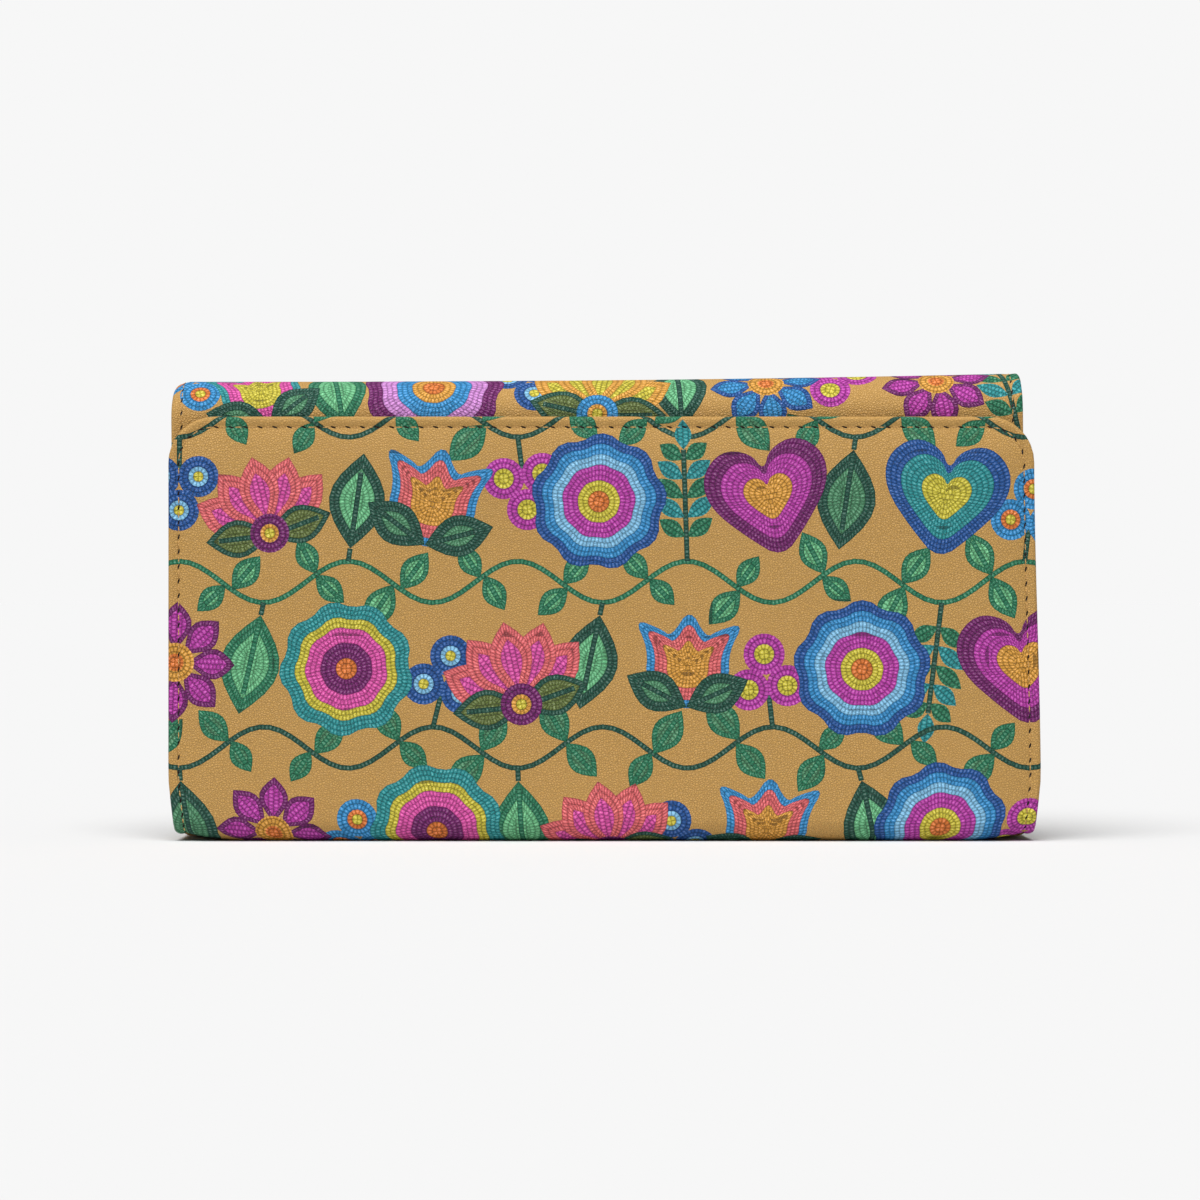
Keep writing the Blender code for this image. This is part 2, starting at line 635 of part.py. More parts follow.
def add_zip_slider(runner):
    """A channel that runs on the rows, an upper plate on a wedge between them, and a bridge."""
    x, y = RUNNER.x, RUNNER.y
    half = SLIDER_LENGTH / 2
    wide = ZIP_ROW_OUTER + ZIP_CLEARANCE + SLIDER_FLANGE
    inside = wide - SLIDER_FLANGE
    plate_top = SLIDER_BOTTOM + SLIDER_PLATE
    plate_middle = SLIDER_BOTTOM + SLIDER_PLATE / 2
    upper_bottom = ZIP_ROW_TOP + ZIP_CLEARANCE
    upper_half = COIN_GAP / 2 - LAYER_GAP - TAPE_SHEET - ZIP_CLEARANCE
    wedge = ZIP_ROW_INNER - ZIP_CLEARANCE
    wedge_end = x + half - SLIDER_WEDGE_INSET
    bar_bottom = SLIDER_BOTTOM - BRIDGE_GAP - BRIDGE_BAR
    left, right = x - BRIDGE_LENGTH / 2, x + BRIDGE_LENGTH / 2
    channel = [
        (y - wide, SLIDER_BOTTOM), (y + wide, SLIDER_BOTTOM), (y + wide, ZIP_ROW_TOP), (y + inside, ZIP_ROW_TOP),
        (y + inside, plate_top), (y - inside, plate_top), (y - inside, ZIP_ROW_TOP), (y - wide, ZIP_ROW_TOP),
    ]
    slider = bar("zip_slider", channel, x - half, x + half, warm_metal(), runner)
    bridge = [
        (left, plate_middle), (left, bar_bottom), (right, bar_bottom), (right, plate_middle),
        (right - BRIDGE_BAR, plate_middle), (right - BRIDGE_BAR, bar_bottom + BRIDGE_BAR),
        (left + BRIDGE_BAR, bar_bottom + BRIDGE_BAR), (left + BRIDGE_BAR, plate_middle),
    ]
    near, far = y - BRIDGE_WIDTH / 2, y + BRIDGE_WIDTH / 2
    cut(slider, plate("slider_bridge", bridge, near, far, warm_metal(), parent=runner), "UNION")
    low = (wedge_end - SLIDER_WEDGE_LENGTH, y - wedge, plate_middle)
    high = (wedge_end, y + wedge, upper_bottom + SLIDER_PLATE / 2)
    cut(slider, block("slider_wedge", low, high, warm_metal(), parent=runner), "UNION")
    low = (x - half, y - upper_half, upper_bottom)
    high = (x + half, y + upper_half, upper_bottom + SLIDER_PLATE)
    cut(slider, block("slider_upper_plate", low, high, warm_metal(), parent=runner), "UNION")


def add_zip_pull(runner):
    """A tab whose eye hangs on the slider's bridge, laid flat towards the wallet's middle."""
    x, y = RUNNER.x, RUNNER.y
    eye_half = BRIDGE_WIDTH / 2 + ZIP_CLEARANCE
    half = eye_half + PULL_ARM
    middle = SLIDER_BOTTOM - BRIDGE_GAP / 2
    tip = x - PULL_LENGTH
    outline = []
    for px, py, start in ((x, y + half, 0), (tip, y + half, 90), (tip, y - half, 180), (x, y - half, 270)):
        inward = math.radians(start + 45)
        cx = px - math.copysign(PULL_CORNER, math.cos(inward))
        cy = py - math.copysign(PULL_CORNER, math.sin(inward))
        for step in range(CORNER_STEPS + 1):
            a = math.radians(start + 90 * step / CORNER_STEPS)
            outline.append((cx + PULL_CORNER * math.cos(a), cy + PULL_CORNER * math.sin(a)))
    bm = bmesh.new()
    face = bm.faces.new([bm.verts.new((px, py, middle - PULL_SHEET / 2)) for px, py in outline])
    pulled = bmesh.ops.extrude_face_region(bm, geom=[face])["geom"]
    moved = [v for v in pulled if isinstance(v, bmesh.types.BMVert)]
    bmesh.ops.translate(bm, vec=(0, 0, PULL_SHEET), verts=moved)
    bmesh.ops.recalc_face_normals(bm, faces=bm.faces)
    pull = add_object("zip_pull", bm, warm_metal(), runner)
    low = (x - PULL_PIN - PULL_EYE, y - eye_half, middle - PULL_SHEET)
    high = (x - PULL_PIN, y + eye_half, middle + PULL_SHEET)
    eye = block("zip_pull_eye", low, high, warm_metal(), parent=runner)
    cut(pull, eye)


# Magnetic snap: its case is on the inner leaf and its stud on the flap

def add_snap(hinge):
    place = snap_place()
    base = LEAF_FACE - SNAP_CLEARANCE
    floor = base - SNAP_CASE_FLOOR
    mouth = base - SNAP_CASE_HEIGHT
    cup = [
        (SNAP_RADIUS, base),
        (SNAP_RADIUS, mouth),
        (SNAP_RADIUS - SNAP_CASE_WALL, mouth),
        (SNAP_RADIUS - SNAP_CASE_WALL, floor),
    ]
    stepped_disc("snap_case", place, cup, warm_metal())
    magnet_outer = SNAP_RADIUS - SNAP_CASE_WALL - SNAP_CLEARANCE
    magnet_base = floor - SNAP_CLEARANCE
    magnet = (magnet_base - SNAP_MAGNET, magnet_base)
    ring("snap_magnet", place, SNAP_SOCKET_RADIUS, magnet_outer, *magnet, dark_magnet())
    near = LEAF_FACE + BOARD_DEPTH
    washer = [(SNAP_WASHER_RADIUS, near), (SNAP_WASHER_RADIUS, near + BOARD)]
    stepped_disc("snap_case_washer", place, washer, steel())
    plate_near = FLAP_INSIDE + SNAP_CLEARANCE
    plate_far = plate_near + SNAP_PLATE
    stud = [
        (SNAP_RADIUS, plate_near),
        (SNAP_RADIUS, plate_far),
        (SNAP_STUD_RADIUS, plate_far),
        (SNAP_STUD_RADIUS, plate_far + SNAP_STUD_LENGTH),
    ]
    stepped_disc("snap_stud", place, stud, warm_metal(), hinge)
    near = FLAP_FACE + BOARD_DEPTH
    washer = [(SNAP_WASHER_RADIUS, near), (SNAP_WASHER_RADIUS, near + BOARD)]
    stepped_disc("snap_stud_washer", place, washer, steel(), hinge)


def build():
    clear_scene()
    hinge = add_empty("flap_hinge", HINGE)
    runner = add_empty("zip_runner", RUNNER)
    add_flap_sheets(hinge)
    add_shell_sheets()
    add_shell_boards()
    add_card_slots(hinge)
    add_coin_pocket()
    add_gusset("bill_gusset_left", -1)
    add_gusset("bill_gusset_right", 1)
    add_zip()
    add_zip_slider(runner)
    add_zip_pull(runner)
    add_snap(hinge)


build()
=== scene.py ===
# %% [markdown]
# # A long wallet with a printed flap
#
# The wallet stands closed on its lower fold. One sheet of tan leather makes the flap, the lower
# fold, the back, the upper fold and the inner leaf, and a lining, card slots, a coin pocket and a
# magnetic snap lie inside it.
#
# The imported model comes first. It is the frame: the sizes below repeat those of its solids, and
# most pieces made here hang from an empty named after a body: shell, flap or runner.

# %% Load the frame
import math
import random
from collections import namedtuple
from functools import partial

import bmesh
import bpy
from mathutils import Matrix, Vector, noise
from mathutils.geometry import delaunay_2d_cdt


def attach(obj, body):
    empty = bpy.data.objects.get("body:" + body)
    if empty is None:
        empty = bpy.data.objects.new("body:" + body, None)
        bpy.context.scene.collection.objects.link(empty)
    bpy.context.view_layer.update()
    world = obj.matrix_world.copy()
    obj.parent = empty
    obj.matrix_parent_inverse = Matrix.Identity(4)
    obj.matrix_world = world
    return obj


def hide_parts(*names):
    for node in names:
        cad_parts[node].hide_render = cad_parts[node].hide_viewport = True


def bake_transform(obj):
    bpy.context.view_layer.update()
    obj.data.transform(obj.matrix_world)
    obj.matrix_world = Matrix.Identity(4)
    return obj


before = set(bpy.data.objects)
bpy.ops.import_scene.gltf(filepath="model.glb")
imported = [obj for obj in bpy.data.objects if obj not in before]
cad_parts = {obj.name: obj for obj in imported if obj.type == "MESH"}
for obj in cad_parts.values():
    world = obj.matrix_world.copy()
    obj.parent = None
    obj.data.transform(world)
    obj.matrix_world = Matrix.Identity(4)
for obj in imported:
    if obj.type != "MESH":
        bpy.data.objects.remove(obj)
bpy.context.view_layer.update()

# %% [markdown]
# ## Sizes
#
# All sizes are in metres and repeat those of the solids, because a piece that is dressed here has
# to lie where its solid lies. The sheet's face is the outside of the leather, and depth is counted
# from there towards the inside. The last group is what use did to the leather, as the photograph
# shows it: a narrower foot, lifted corners, a shell that leans and a flap that spreads at the foot.

# %% Sizes of the folded sheet
LENGTH = 0.190
HEIGHT = 0.10135
DEPTH = 0.0285
FLAP_TOP = 0.0925
LEAF_BOTTOM = 0.008
SKIVED = 0.0005
WALL = 0.0026
LINING = 0.0005
LINING_DEPTH = 0.0021
BOARD = 0.0007
BOARD_DEPTH = 0.0011
BOARD_RUN = 0.0761
EDGE_CLEAR = 0.0014
EDGE_ROUND = 0.0008
HEM_IN = 0.0006
FOLD = 0.005
TOP_FOLD = 0.009
FLAP_CORNER = 0.010
LEAF_CORNER = 0.004
SHELL_LEFT = 0.0942
SHELL_RIGHT = 0.0933
FLAP_FACE = -DEPTH / 2
LEAF_FACE = -0.00865
BACK_FACE = DEPTH / 2
FLAP_INSIDE = FLAP_FACE + WALL
LEAF_INSIDE = LEAF_FACE + WALL

WAIST = 0.0012
WAIST_TOP = 0.015
CORNER_LIFT = 0.0004
LIFT_LENGTH = 0.012
CORNER_IN = 0.0020
CORNER_IN_TOP = 0.0026
LOW_OUT = 0.0009
HIGH_IN = 0.0005
SPREAD_FULL = 0.010
SPREAD_NONE = 0.085
TOP_RISE = 0.0019
TOP_SHIFT = 0.0008
FLAP_RISE = 0.0004
TOP_DROOP = 0.0015
DROOP_LENGTH = 0.0034
print(f"sheet folded to {LENGTH * 1000:.0f} x {DEPTH * 1000:.1f} x {HEIGHT * 1000:.1f} mm")

# %% [markdown]
# ## Camera, floor and light
#
# The photograph is taken level and straight on, from far enough away that the ends of the wallet
# hardly show. A long lens at that distance repeats it. The light is a broad soft one, high above
# and a little to the left, with a weak sky all round: the upper fold is bright, and the flap is
# darker and even. The floor's colour is worked out so that floor and background meet without a
# line.

# %% Camera
VIEW_WIDTH = 0.262
VIEW_DISTANCE = 0.76
VIEW_SIDE = -0.00055
VIEW_HEIGHT = 0.0528
SENSOR = 36
bpy.ops.object.select_all(action="DESELECT")
bpy.ops.object.camera_add(
    location=(VIEW_SIDE, FLAP_FACE - VIEW_DISTANCE, VIEW_HEIGHT),
    rotation=(math.pi / 2, 0, 0),
)
camera = bpy.context.object
camera.name = "camera"
camera.data.sensor_width = SENSOR
camera.data.lens = SENSOR * VIEW_DISTANCE / VIEW_WIDTH
camera.data.clip_end = 200
bpy.context.scene.camera = camera
print(f"lens {camera.data.lens:.0f} mm")

# %% Floor, sky and sun
PAPER = 0.93
SKY = 0.2
SUN_ANGLE = 23
SUN_SIDE = -16
SUN_SPREAD = 50
SUN_POWER = 4.1
scene = bpy.context.scene
scene.view_settings.view_transform = "Standard"
world = scene.world or bpy.data.worlds.new("studio")
scene.world = world
world.use_nodes = True
sky = world.node_tree.nodes["Background"]
sky.inputs["Color"].default_value = (1, 1, 1, 1)
seen = world.node_tree.nodes.new("ShaderNodeLightPath").outputs["Is Camera Ray"]
strength = world.node_tree.nodes.new("ShaderNodeMapRange")
strength.inputs["To Min"].default_value = SKY
strength.inputs["To Max"].default_value = PAPER
world.node_tree.links.new(seen, strength.inputs["Value"])
world.node_tree.links.new(strength.outputs["Result"], sky.inputs["Strength"])
bpy.ops.object.light_add(type="SUN", rotation=(math.radians(SUN_ANGLE), 0, math.radians(SUN_SIDE)))
sun = bpy.context.object
sun.name = "soft_sun"
sun.data.energy = SUN_POWER
sun.data.angle = math.radians(SUN_SPREAD)
light_on_floor = SKY + SUN_POWER * math.cos(math.radians(SUN_ANGLE)) / math.pi
floor_white = PAPER / light_on_floor
bpy.ops.mesh.primitive_circle_add(vertices=64, radius=60, fill_type="NGON")
floor = bpy.context.object
floor.name = "floor"
print(f"floor reflects {floor_white:.2f}")

# %% [markdown]
# ## A short way to write node trees
#
# A procedural material is a chain of small sums. A `Flow` is what comes out of a node, and a sum
# with it adds the next node, so that a chain reads like a formula. An effect that several
# materials share is a node group with named inputs and outputs.

# %% Node helpers
class Flow:
    """An output of a node. Sums with it add nodes to its tree."""

    def __init__(self, tree, socket):
        self.tree, self.socket = tree, socket

    def do(self, operation, *others):
        return node(self.tree, "ShaderNodeMath", self, *others, operation=operation)["Value"]

    def __add__(self, other):
        return self.do("ADD", other)

    def __sub__(self, other):
        return self.do("SUBTRACT", other)

    def __rsub__(self, other):
        return node(self.tree, "ShaderNodeMath", other, self, operation="SUBTRACT")["Value"]

    def __mul__(self, other):
        return self.do("MULTIPLY", other)

    def __truediv__(self, other):
        return self.do("DIVIDE", other)

    def __pow__(self, other):
        return self.do("POWER", other)


def feed(socket, value):
    """Links an input to a flow, or sets it to a plain value."""
    if isinstance(value, Flow):
        value.tree.links.new(value.socket, socket)
    else:
        socket.default_value = value


def node(tree, kind, *inputs, **named):
    """Adds a node, fills its inputs in order or by name, and gives its outputs by name."""
    made = kind if isinstance(kind, bpy.types.Node) else tree.nodes.new(kind)
    for name, value in named.items():
        if name[0].islower():
            setattr(made, name, value)
    for name, value in named.items():
        if name[0].isupper():
            feed(made.inputs[name], value)
    for socket, value in zip(made.inputs, inputs):
        feed(socket, value)
    return {socket.name: Flow(tree, socket) for socket in made.outputs}


def mixed(factor, first, second, blend="MIX"):
    """Mixes two colours. A factor of 0 gives the first."""
    tree = next(value.tree for value in (factor, first, second) if isinstance(value, Flow))
    made = tree.nodes.new("ShaderNodeMix")
    made.data_type, made.blend_type = "RGBA", blend
    for number, value in ((0, factor), (6, first), (7, second)):
        feed(made.inputs[number], value)
    return Flow(tree, made.outputs[2])


def linear(red, green, blue):
    """A colour as the eye reads it, from 0 to 255, as the renderer counts it."""
    shares = [c / 255 for c in (red, green, blue)]
    return (*(c / 12.92 if c <= 0.04 else ((c + 0.055) / 1.055) ** 2.4 for c in shares), 1.0)


def effect(name, numbers, results):
    """A new shader group of a place and numbers. Gives its inputs and its output node."""
    group = bpy.data.node_groups.new(name, "ShaderNodeTree")
    group.interface.new_socket("Place", in_out="INPUT", socket_type="NodeSocketVector")
    for socket, value in numbers.items():
        made = group.interface.new_socket(socket, in_out="INPUT", socket_type="NodeSocketFloat")
        made.default_value = value
    for socket in results:
        group.interface.new_socket(socket, in_out="OUTPUT", socket_type="NodeSocketFloat")
    return group, node(group, "NodeGroupInput"), group.nodes.new("NodeGroupOutput")


def use(group, place, **numbers):
    """Places a group in the tree of a place, and gives its results."""
    made = place.tree.nodes.new("ShaderNodeGroup")
    made.node_tree = group
    return node(place.tree, made, place, **numbers)


print("node helpers ready")

# %% [markdown]
# ## Shared effects
#
# Leather has a grain of small pebbles, about half a millimetre across, with finer pores on them.
# Cells of a Voronoi texture give the pebbles and noise breaks them up. Cloth is woven: two waves
# at right angles give its over-and-under. Handling darkens and lightens all of them in soft
# patches.

# %% Grain, weave and patches
WARP = 0.0005
grain, start, end = effect(
    "Leather grain", {"Pebbles": 1900.0, "Pores": 5200.0}, ("Height", "Crease"),
)
place = start["Place"]
warp = node(grain, "ShaderNodeTexNoise", place, Scale=900.0)["Color"]
push = node(grain, "ShaderNodeVectorMath", warp, (WARP,) * 3, operation="MULTIPLY")["Vector"]
bent = node(grain, "ShaderNodeVectorMath", place, push, operation="ADD")["Vector"]
pebbles = node(
    grain, "ShaderNodeTexVoronoi", bent, feature="DISTANCE_TO_EDGE", Scale=start["Pebbles"],
)["Distance"]
pores = node(grain, "ShaderNodeTexNoise", place, Scale=start["Pores"])["Fac"]
dome = (pebbles * 2.6).do("MINIMUM", 1.0) ** 0.5
feed(end.inputs["Height"], dome + pores * 0.35)
feed(end.inputs["Crease"], 1.0 - dome)

patches, start, end = effect("Soft patches", {"Size": 30.0}, ("Mask",))
cloud = node(patches, "ShaderNodeTexNoise", start["Place"], Scale=start["Size"], Detail=4.0)
feed(end.inputs["Mask"], cloud["Fac"])

weave, start, end = effect("Weave", {"Threads": 9000.0}, ("Height", "Gap"))
split = node(weave, "ShaderNodeSeparateXYZ", start["Place"])
across = split["X"] * start["Threads"]
along = split["Y"] * start["Threads"]
over = (across + along).do("SINE") * 0.3 + across.do("SINE") * along.do("SINE") * 0.5
feed(end.inputs["Height"], over)
feed(end.inputs["Gap"], over.do("LESS_THAN", -0.35))
print("shared effects:", [group.name for group in bpy.data.node_groups])

# %% [markdown]
# ## The bead rows of the print
#
# The print imitates beadwork: every shape is filled with rows of small round beads, drawn with a
# light middle and a dark rim. Most rows follow the outline of their shape, berries and buttons are
# filled with rings, and stems are single straight rows. The group works on a map in millimetres
# that each shape carries: along the row in X, across it in Y. For rings it finds which ring a point
# is in and how many beads go round there, so that the beads stay the same size.

# %% Bead rows
BEAD = 0.84
ROW = 1.15
beads, start, end = effect("Bead rows", {"Rings": 0.0}, ("Dome", "Speck"))
split = node(beads, "ShaderNodeSeparateXYZ", start["Place"])
x, y = split["X"], split["Y"]
reach = node(beads, "ShaderNodeVectorMath", start["Place"], operation="LENGTH")["Value"]
ring = (reach / ROW).do("FLOOR")
count = ((ring + 0.5) * (ROW * 2 * math.pi / BEAD)).do("ROUND")
round_place = y.do("ARCTAN2", x) / (2 * math.pi) * count


def either(first, second):
    """The first where rows are straight, the second where they are rings."""
    return first + (second - first) * start["Rings"]


lane = either(y / ROW, reach / ROW)
lane_number = lane.do("FLOOR")
step = either(x / BEAD, round_place) + lane_number * 0.5
side = step.do("FRACT") - 0.5
rise = lane.do("FRACT") - 0.5
far_up = (rise * 2.0).do("ABSOLUTE") ** 2.2
far_on = (side * 2.0).do("ABSOLUTE") ** 2.4
dome = (1.0 - far_up).do("MAXIMUM", 0.0).do("SQRT") * (1.0 - far_on * 0.75)
feed(end.inputs["Dome"], dome)
own_name = node(beads, "ShaderNodeCombineXYZ", step.do("FLOOR"), lane_number, count)["Vector"]
feed(end.inputs["Speck"], node(beads, "ShaderNodeTexWhiteNoise", own_name)["Value"])
print("beads of", BEAD, "mm in rows of", ROW, "mm")

# %% [markdown]
# ## Materials
#
# The leather reads two maps of its own: one of the flat sheet, which the grain follows round the
# folds, and one for the beads. Its colour attribute says what is printed where. Ink lies on the
# leather without a thickness of its own, so that the grain runs on through it.

# %% Printed leather
def material(name, colour, roughness, metallic=0.0):
    """A new material. Gives it with its tree and the inputs of its shader."""
    made = bpy.data.materials.new(name)
    made.use_nodes = True
    inputs = made.node_tree.nodes["Principled BSDF"].inputs
    feed(inputs["Base Color"], colour)
    feed(inputs["Roughness"], roughness)
    feed(inputs["Metallic"], metallic)
    return made, made.node_tree, inputs


def bumped(inputs, height, strength, distance):
    bump = node(height.tree, "ShaderNodeBump", Strength=strength, Distance=distance, Height=height)
    feed(inputs["Normal"], bump["Normal"])


def object_place(tree):
    return node(tree, "ShaderNodeTexCoord")["Object"]


TAN = linear(200, 156, 87)
TAN_DARK = linear(192, 149, 80)
printed_leather, tree, inputs = material("printed_leather", TAN, 0.5)
flat_map = node(tree, "ShaderNodeUVMap", uv_map="Sheet")["UV"]
bead_map = node(tree, "ShaderNodeUVMap", uv_map="Beads")["UV"]
ink = node(tree, "ShaderNodeAttribute", attribute_name="Ink")["Color"]
rows = node(tree, "ShaderNodeAttribute", attribute_name="Rows")["Fac"]
printed = rows.do("MINIMUM", 1.0)
bead = use(beads, bead_map, Rings=(rows - 1.0).do("MAXIMUM", 0.0))
tone = (bead["Dome"] * 0.90 + 0.12) * (bead["Speck"] * 0.40 + 0.78)
grey = node(tree, "ShaderNodeCombineXYZ", tone, tone, tone)["Vector"]
beaded = mixed(1.0, ink, grey, "MULTIPLY")
beaded = mixed(bead["Dome"] ** 12.0 * (bead["Speck"] * 0.16), beaded, (1, 1, 1, 1))
skin = use(grain, flat_map, Pebbles=1900.0, Pores=5200.0)
tan = mixed(use(patches, flat_map, Size=38.0)["Mask"], TAN, TAN_DARK)
tan = mixed(skin["Crease"] * 0.34, tan, linear(122, 88, 48))
tan = mixed(1.0, tan, ink, "MULTIPLY")
feed(inputs["Base Color"], mixed(printed, tan, beaded))
feed(inputs["Roughness"], skin["Crease"] * 0.12 + 0.46)
feed(inputs["Specular IOR Level"], 0.3)
bumped(inputs, skin["Height"], 0.65, 0.00024)
print("printed leather:", len(tree.nodes), "nodes")

# %% Lining leather and thread
lining_leather, tree, inputs = material("lining_leather", linear(78, 54, 38), 0.55)
place = object_place(tree)
skin = use(grain, place, Pebbles=1500.0, Pores=6000.0)
worn = use(patches, place, Size=26.0)["Mask"]
brown = mixed(worn, linear(86, 60, 42), linear(64, 43, 30))
feed(inputs["Base Color"], mixed(skin["Crease"] * 0.35, brown, linear(38, 24, 16)))
feed(inputs["Roughness"], skin["Crease"] * 0.2 + 0.45)
bumped(inputs, skin["Height"], 0.35, 0.00015)

thread, tree, inputs = material("thread", linear(140, 106, 62), 0.8)
twist = node(
    tree, "ShaderNodeTexWave", object_place(tree), wave_type="BANDS", bands_direction="DIAGONAL",
    Scale=900.0,
)["Fac"]
feed(inputs["Base Color"], mixed(twist, linear(168, 124, 66), linear(206, 164, 100)))
bumped(inputs, twist, 0.5, 0.0001)
print("lining leather and thread")

# %% [markdown]
# ## Cloth, board and metal
#
# What lies inside has quieter finishes: a woven pocket cloth, a ribbed zip tape, grey-brown fibre
# board, warm yellow metal with fine scratches, plain steel and a dull dark magnet.

# %% Cloth and board
def woven(name, light, dark, threads):
    made, tree, inputs = material(name, light, 0.85)
    place = node(tree, "ShaderNodeUVMap", uv_map="Cloth")["UV"]
    cloth = use(weave, place, Threads=threads)
    worn = mixed(use(patches, place, Size=45.0)["Mask"], light, dark)
    feed(inputs["Base Color"], mixed(cloth["Gap"] * 0.7, worn, dark))
    bumped(inputs, cloth["Height"], 0.6, 0.0002)
    return made


pocket_cloth = woven("pocket_cloth", linear(146, 112, 74), linear(104, 76, 48), 9000.0)
zip_cloth = woven("zip_cloth", linear(92, 64, 44), linear(56, 38, 26), 11000.0)

stiff_board, tree, inputs = material("stiff_board", linear(176, 164, 144), 0.9)
fibre = use(patches, object_place(tree), Size=900.0)["Mask"]
feed(inputs["Base Color"], mixed(fibre, linear(158, 145, 124), linear(192, 182, 164)))
bumped(inputs, fibre, 0.4, 0.0001)
print("cloth and board:", pocket_cloth.name, zip_cloth.name, stiff_board.name)


# %% Metals and floor
def metal(name, light, dark, roughness, metallic=1.0):
    made, tree, inputs = material(name, light, roughness, metallic)
    place = object_place(tree)
    stretched = node(tree, "ShaderNodeMapping", place, Scale=(40.0, 2400.0, 900.0))["Vector"]
    scratch = node(tree, "ShaderNodeTexNoise", stretched, Scale=1.0)["Fac"]
    tarnish = use(patches, place, Size=420.0)["Mask"]
    feed(inputs["Base Color"], mixed(tarnish, light, dark))
    feed(inputs["Roughness"], scratch * 0.2 + (roughness - 0.1))
    bumped(inputs, scratch, 0.12, 0.00005)
    return made


warm_metal = metal("warm_metal", linear(222, 186, 122), linear(186, 146, 84), 0.3)
steel = metal("steel", linear(196, 196, 198), linear(160, 160, 164), 0.38)
dark_magnet = metal("dark_magnet", linear(84, 84, 88), linear(58, 58, 62), 0.5, 0.6)

floor_paint, tree, inputs = material("floor_paint", (floor_white,) * 3 + (1,), 1.0)
feed(inputs["Specular IOR Level"], 0.0)
bumped(inputs, use(patches, object_place(tree), Size=3.0)["Mask"], 0.02, 0.0001)
floor.data.materials.append(floor_paint)
print("materials:", [m.name for m in bpy.data.materials if m.users])

# %% [markdown]
# ## How the sheet folds
#
# The sheet is drawn flat and folded in sums. `walk` follows the folded line in the end view, and
# `turned` rolls the sheet's free edge round to the inside. The flap bows back towards its seam, and
# beyond the seam its turned edge is a small roll. `settled` adds what handling did: the foot is
# narrower and its corners curl up, the flap spreads to the right, and the shell leans a little.

# %% The folded line
STRAIGHT = FLAP_TOP - FOLD
HALF_SPINE = DEPTH / 2 - FOLD
QUARTER = FOLD * math.pi / 2
SPLIT = STRAIGHT + QUARTER + HALF_SPINE
BACK = HEIGHT - FOLD - TOP_FOLD
TOP = BACK_FACE - LEAF_FACE - 2 * TOP_FOLD
LEAF = HEIGHT - TOP_FOLD - LEAF_BOTTOM
LEAF_START = HALF_SPINE + QUARTER + BACK + TOP_FOLD * math.pi + TOP
SHELL_RUN = LEAF_START + LEAF
FLAP = {
    "low": -LENGTH / 2, "high": LENGTH / 2, "corner": FLAP_CORNER, "run": SPLIT, "free": -1,
    "start": (FLAP_FACE, FLAP_TOP, -math.pi / 2),
    "moves": [(STRAIGHT, 0), (FOLD, 90), (HALF_SPINE, 0)],
}
SHELL = {
    "low": -SHELL_LEFT, "high": SHELL_RIGHT, "corner": LEAF_CORNER, "run": SHELL_RUN, "free": 1,
    "start": (0.0, 0.0, 0.0),
    "moves": [(HALF_SPINE, 0), (FOLD, 90), (BACK, 0), (TOP_FOLD, 90), (TOP, 0), (TOP_FOLD, 90),
              (LEAF, 0)],
}


def walk(start, moves, distance, depth):
    """The point (y, z) at a distance along the folded line and a depth below it."""
    y, z, heading = start
    for number, (size, degrees) in enumerate(moves):
        length = size * math.radians(degrees) if degrees else size
        going = distance if number == len(moves) - 1 else min(distance, length)
        if degrees:
            turn = going / size
            y += size * (math.sin(heading + turn) - math.sin(heading))
            z += size * (math.cos(heading) - math.cos(heading + turn))
            heading += turn
        else:
            y += going * math.cos(heading)
            z += going * math.sin(heading)
        distance -= going
        if distance <= 0:
            break
    return y - depth * math.sin(heading), z + depth * math.cos(heading)


print(f"flap sheet {SPLIT * 1000:.1f} mm long, shell sheet {SHELL_RUN * 1000:.1f} mm long")


# %% Turned edges
STITCH_IN = 0.0023
GROOVE = 0.00010
GROOVE_WIDTH = 0.0007
BOW = 0.0012
BOW_WIDTH = 0.016
BOW_POWER = 3.2
EDGE_PROUD = 0.00016
EDGE_BELLY = 0.00008


def fade(value, full, none):
    """1 at full, 0 at none, smooth between."""
    t = min(1.0, max(0.0, (value - none) / (full - none)))
    return t * t * (3 - 2 * t)


def reach_of(cut, u, v):
    """How far a point lies outside the core of the sheet, and which way out is."""
    corner = cut["corner"]
    core_u = min(max(u, cut["low"] + corner), cut["high"] - corner)
    core_v = max(v, corner) if cut["free"] < 0 else min(v, cut["run"] - corner)
    away = Vector((u - core_u, v - core_v))
    return core_u, core_v, away.length, away.normalized()


def bowed(cut, u, v, reach):
    """How far the flap bows back near its sewn edge. The turned edge stands a little proud."""
    if cut is SHELL:
        return 0.0
    corner = cut["corner"]
    inner = min(u - cut["low"], cut["high"] - u, v) if reach == 0.0 else corner - reach
    if inner > STITCH_IN:
        return BOW * max(0.0, 1 - (inner - STITCH_IN) / BOW_WIDTH) ** BOW_POWER
    return BOW - EDGE_PROUD * (1 - max(0.0, inner / STITCH_IN) ** 3)


EDGE_QUARTER = EDGE_ROUND * math.pi / 2
EDGE_FLAT = WALL - 2 * EDGE_ROUND
EDGE_RUN = 2 * EDGE_QUARTER + EDGE_FLAT + HEM_IN


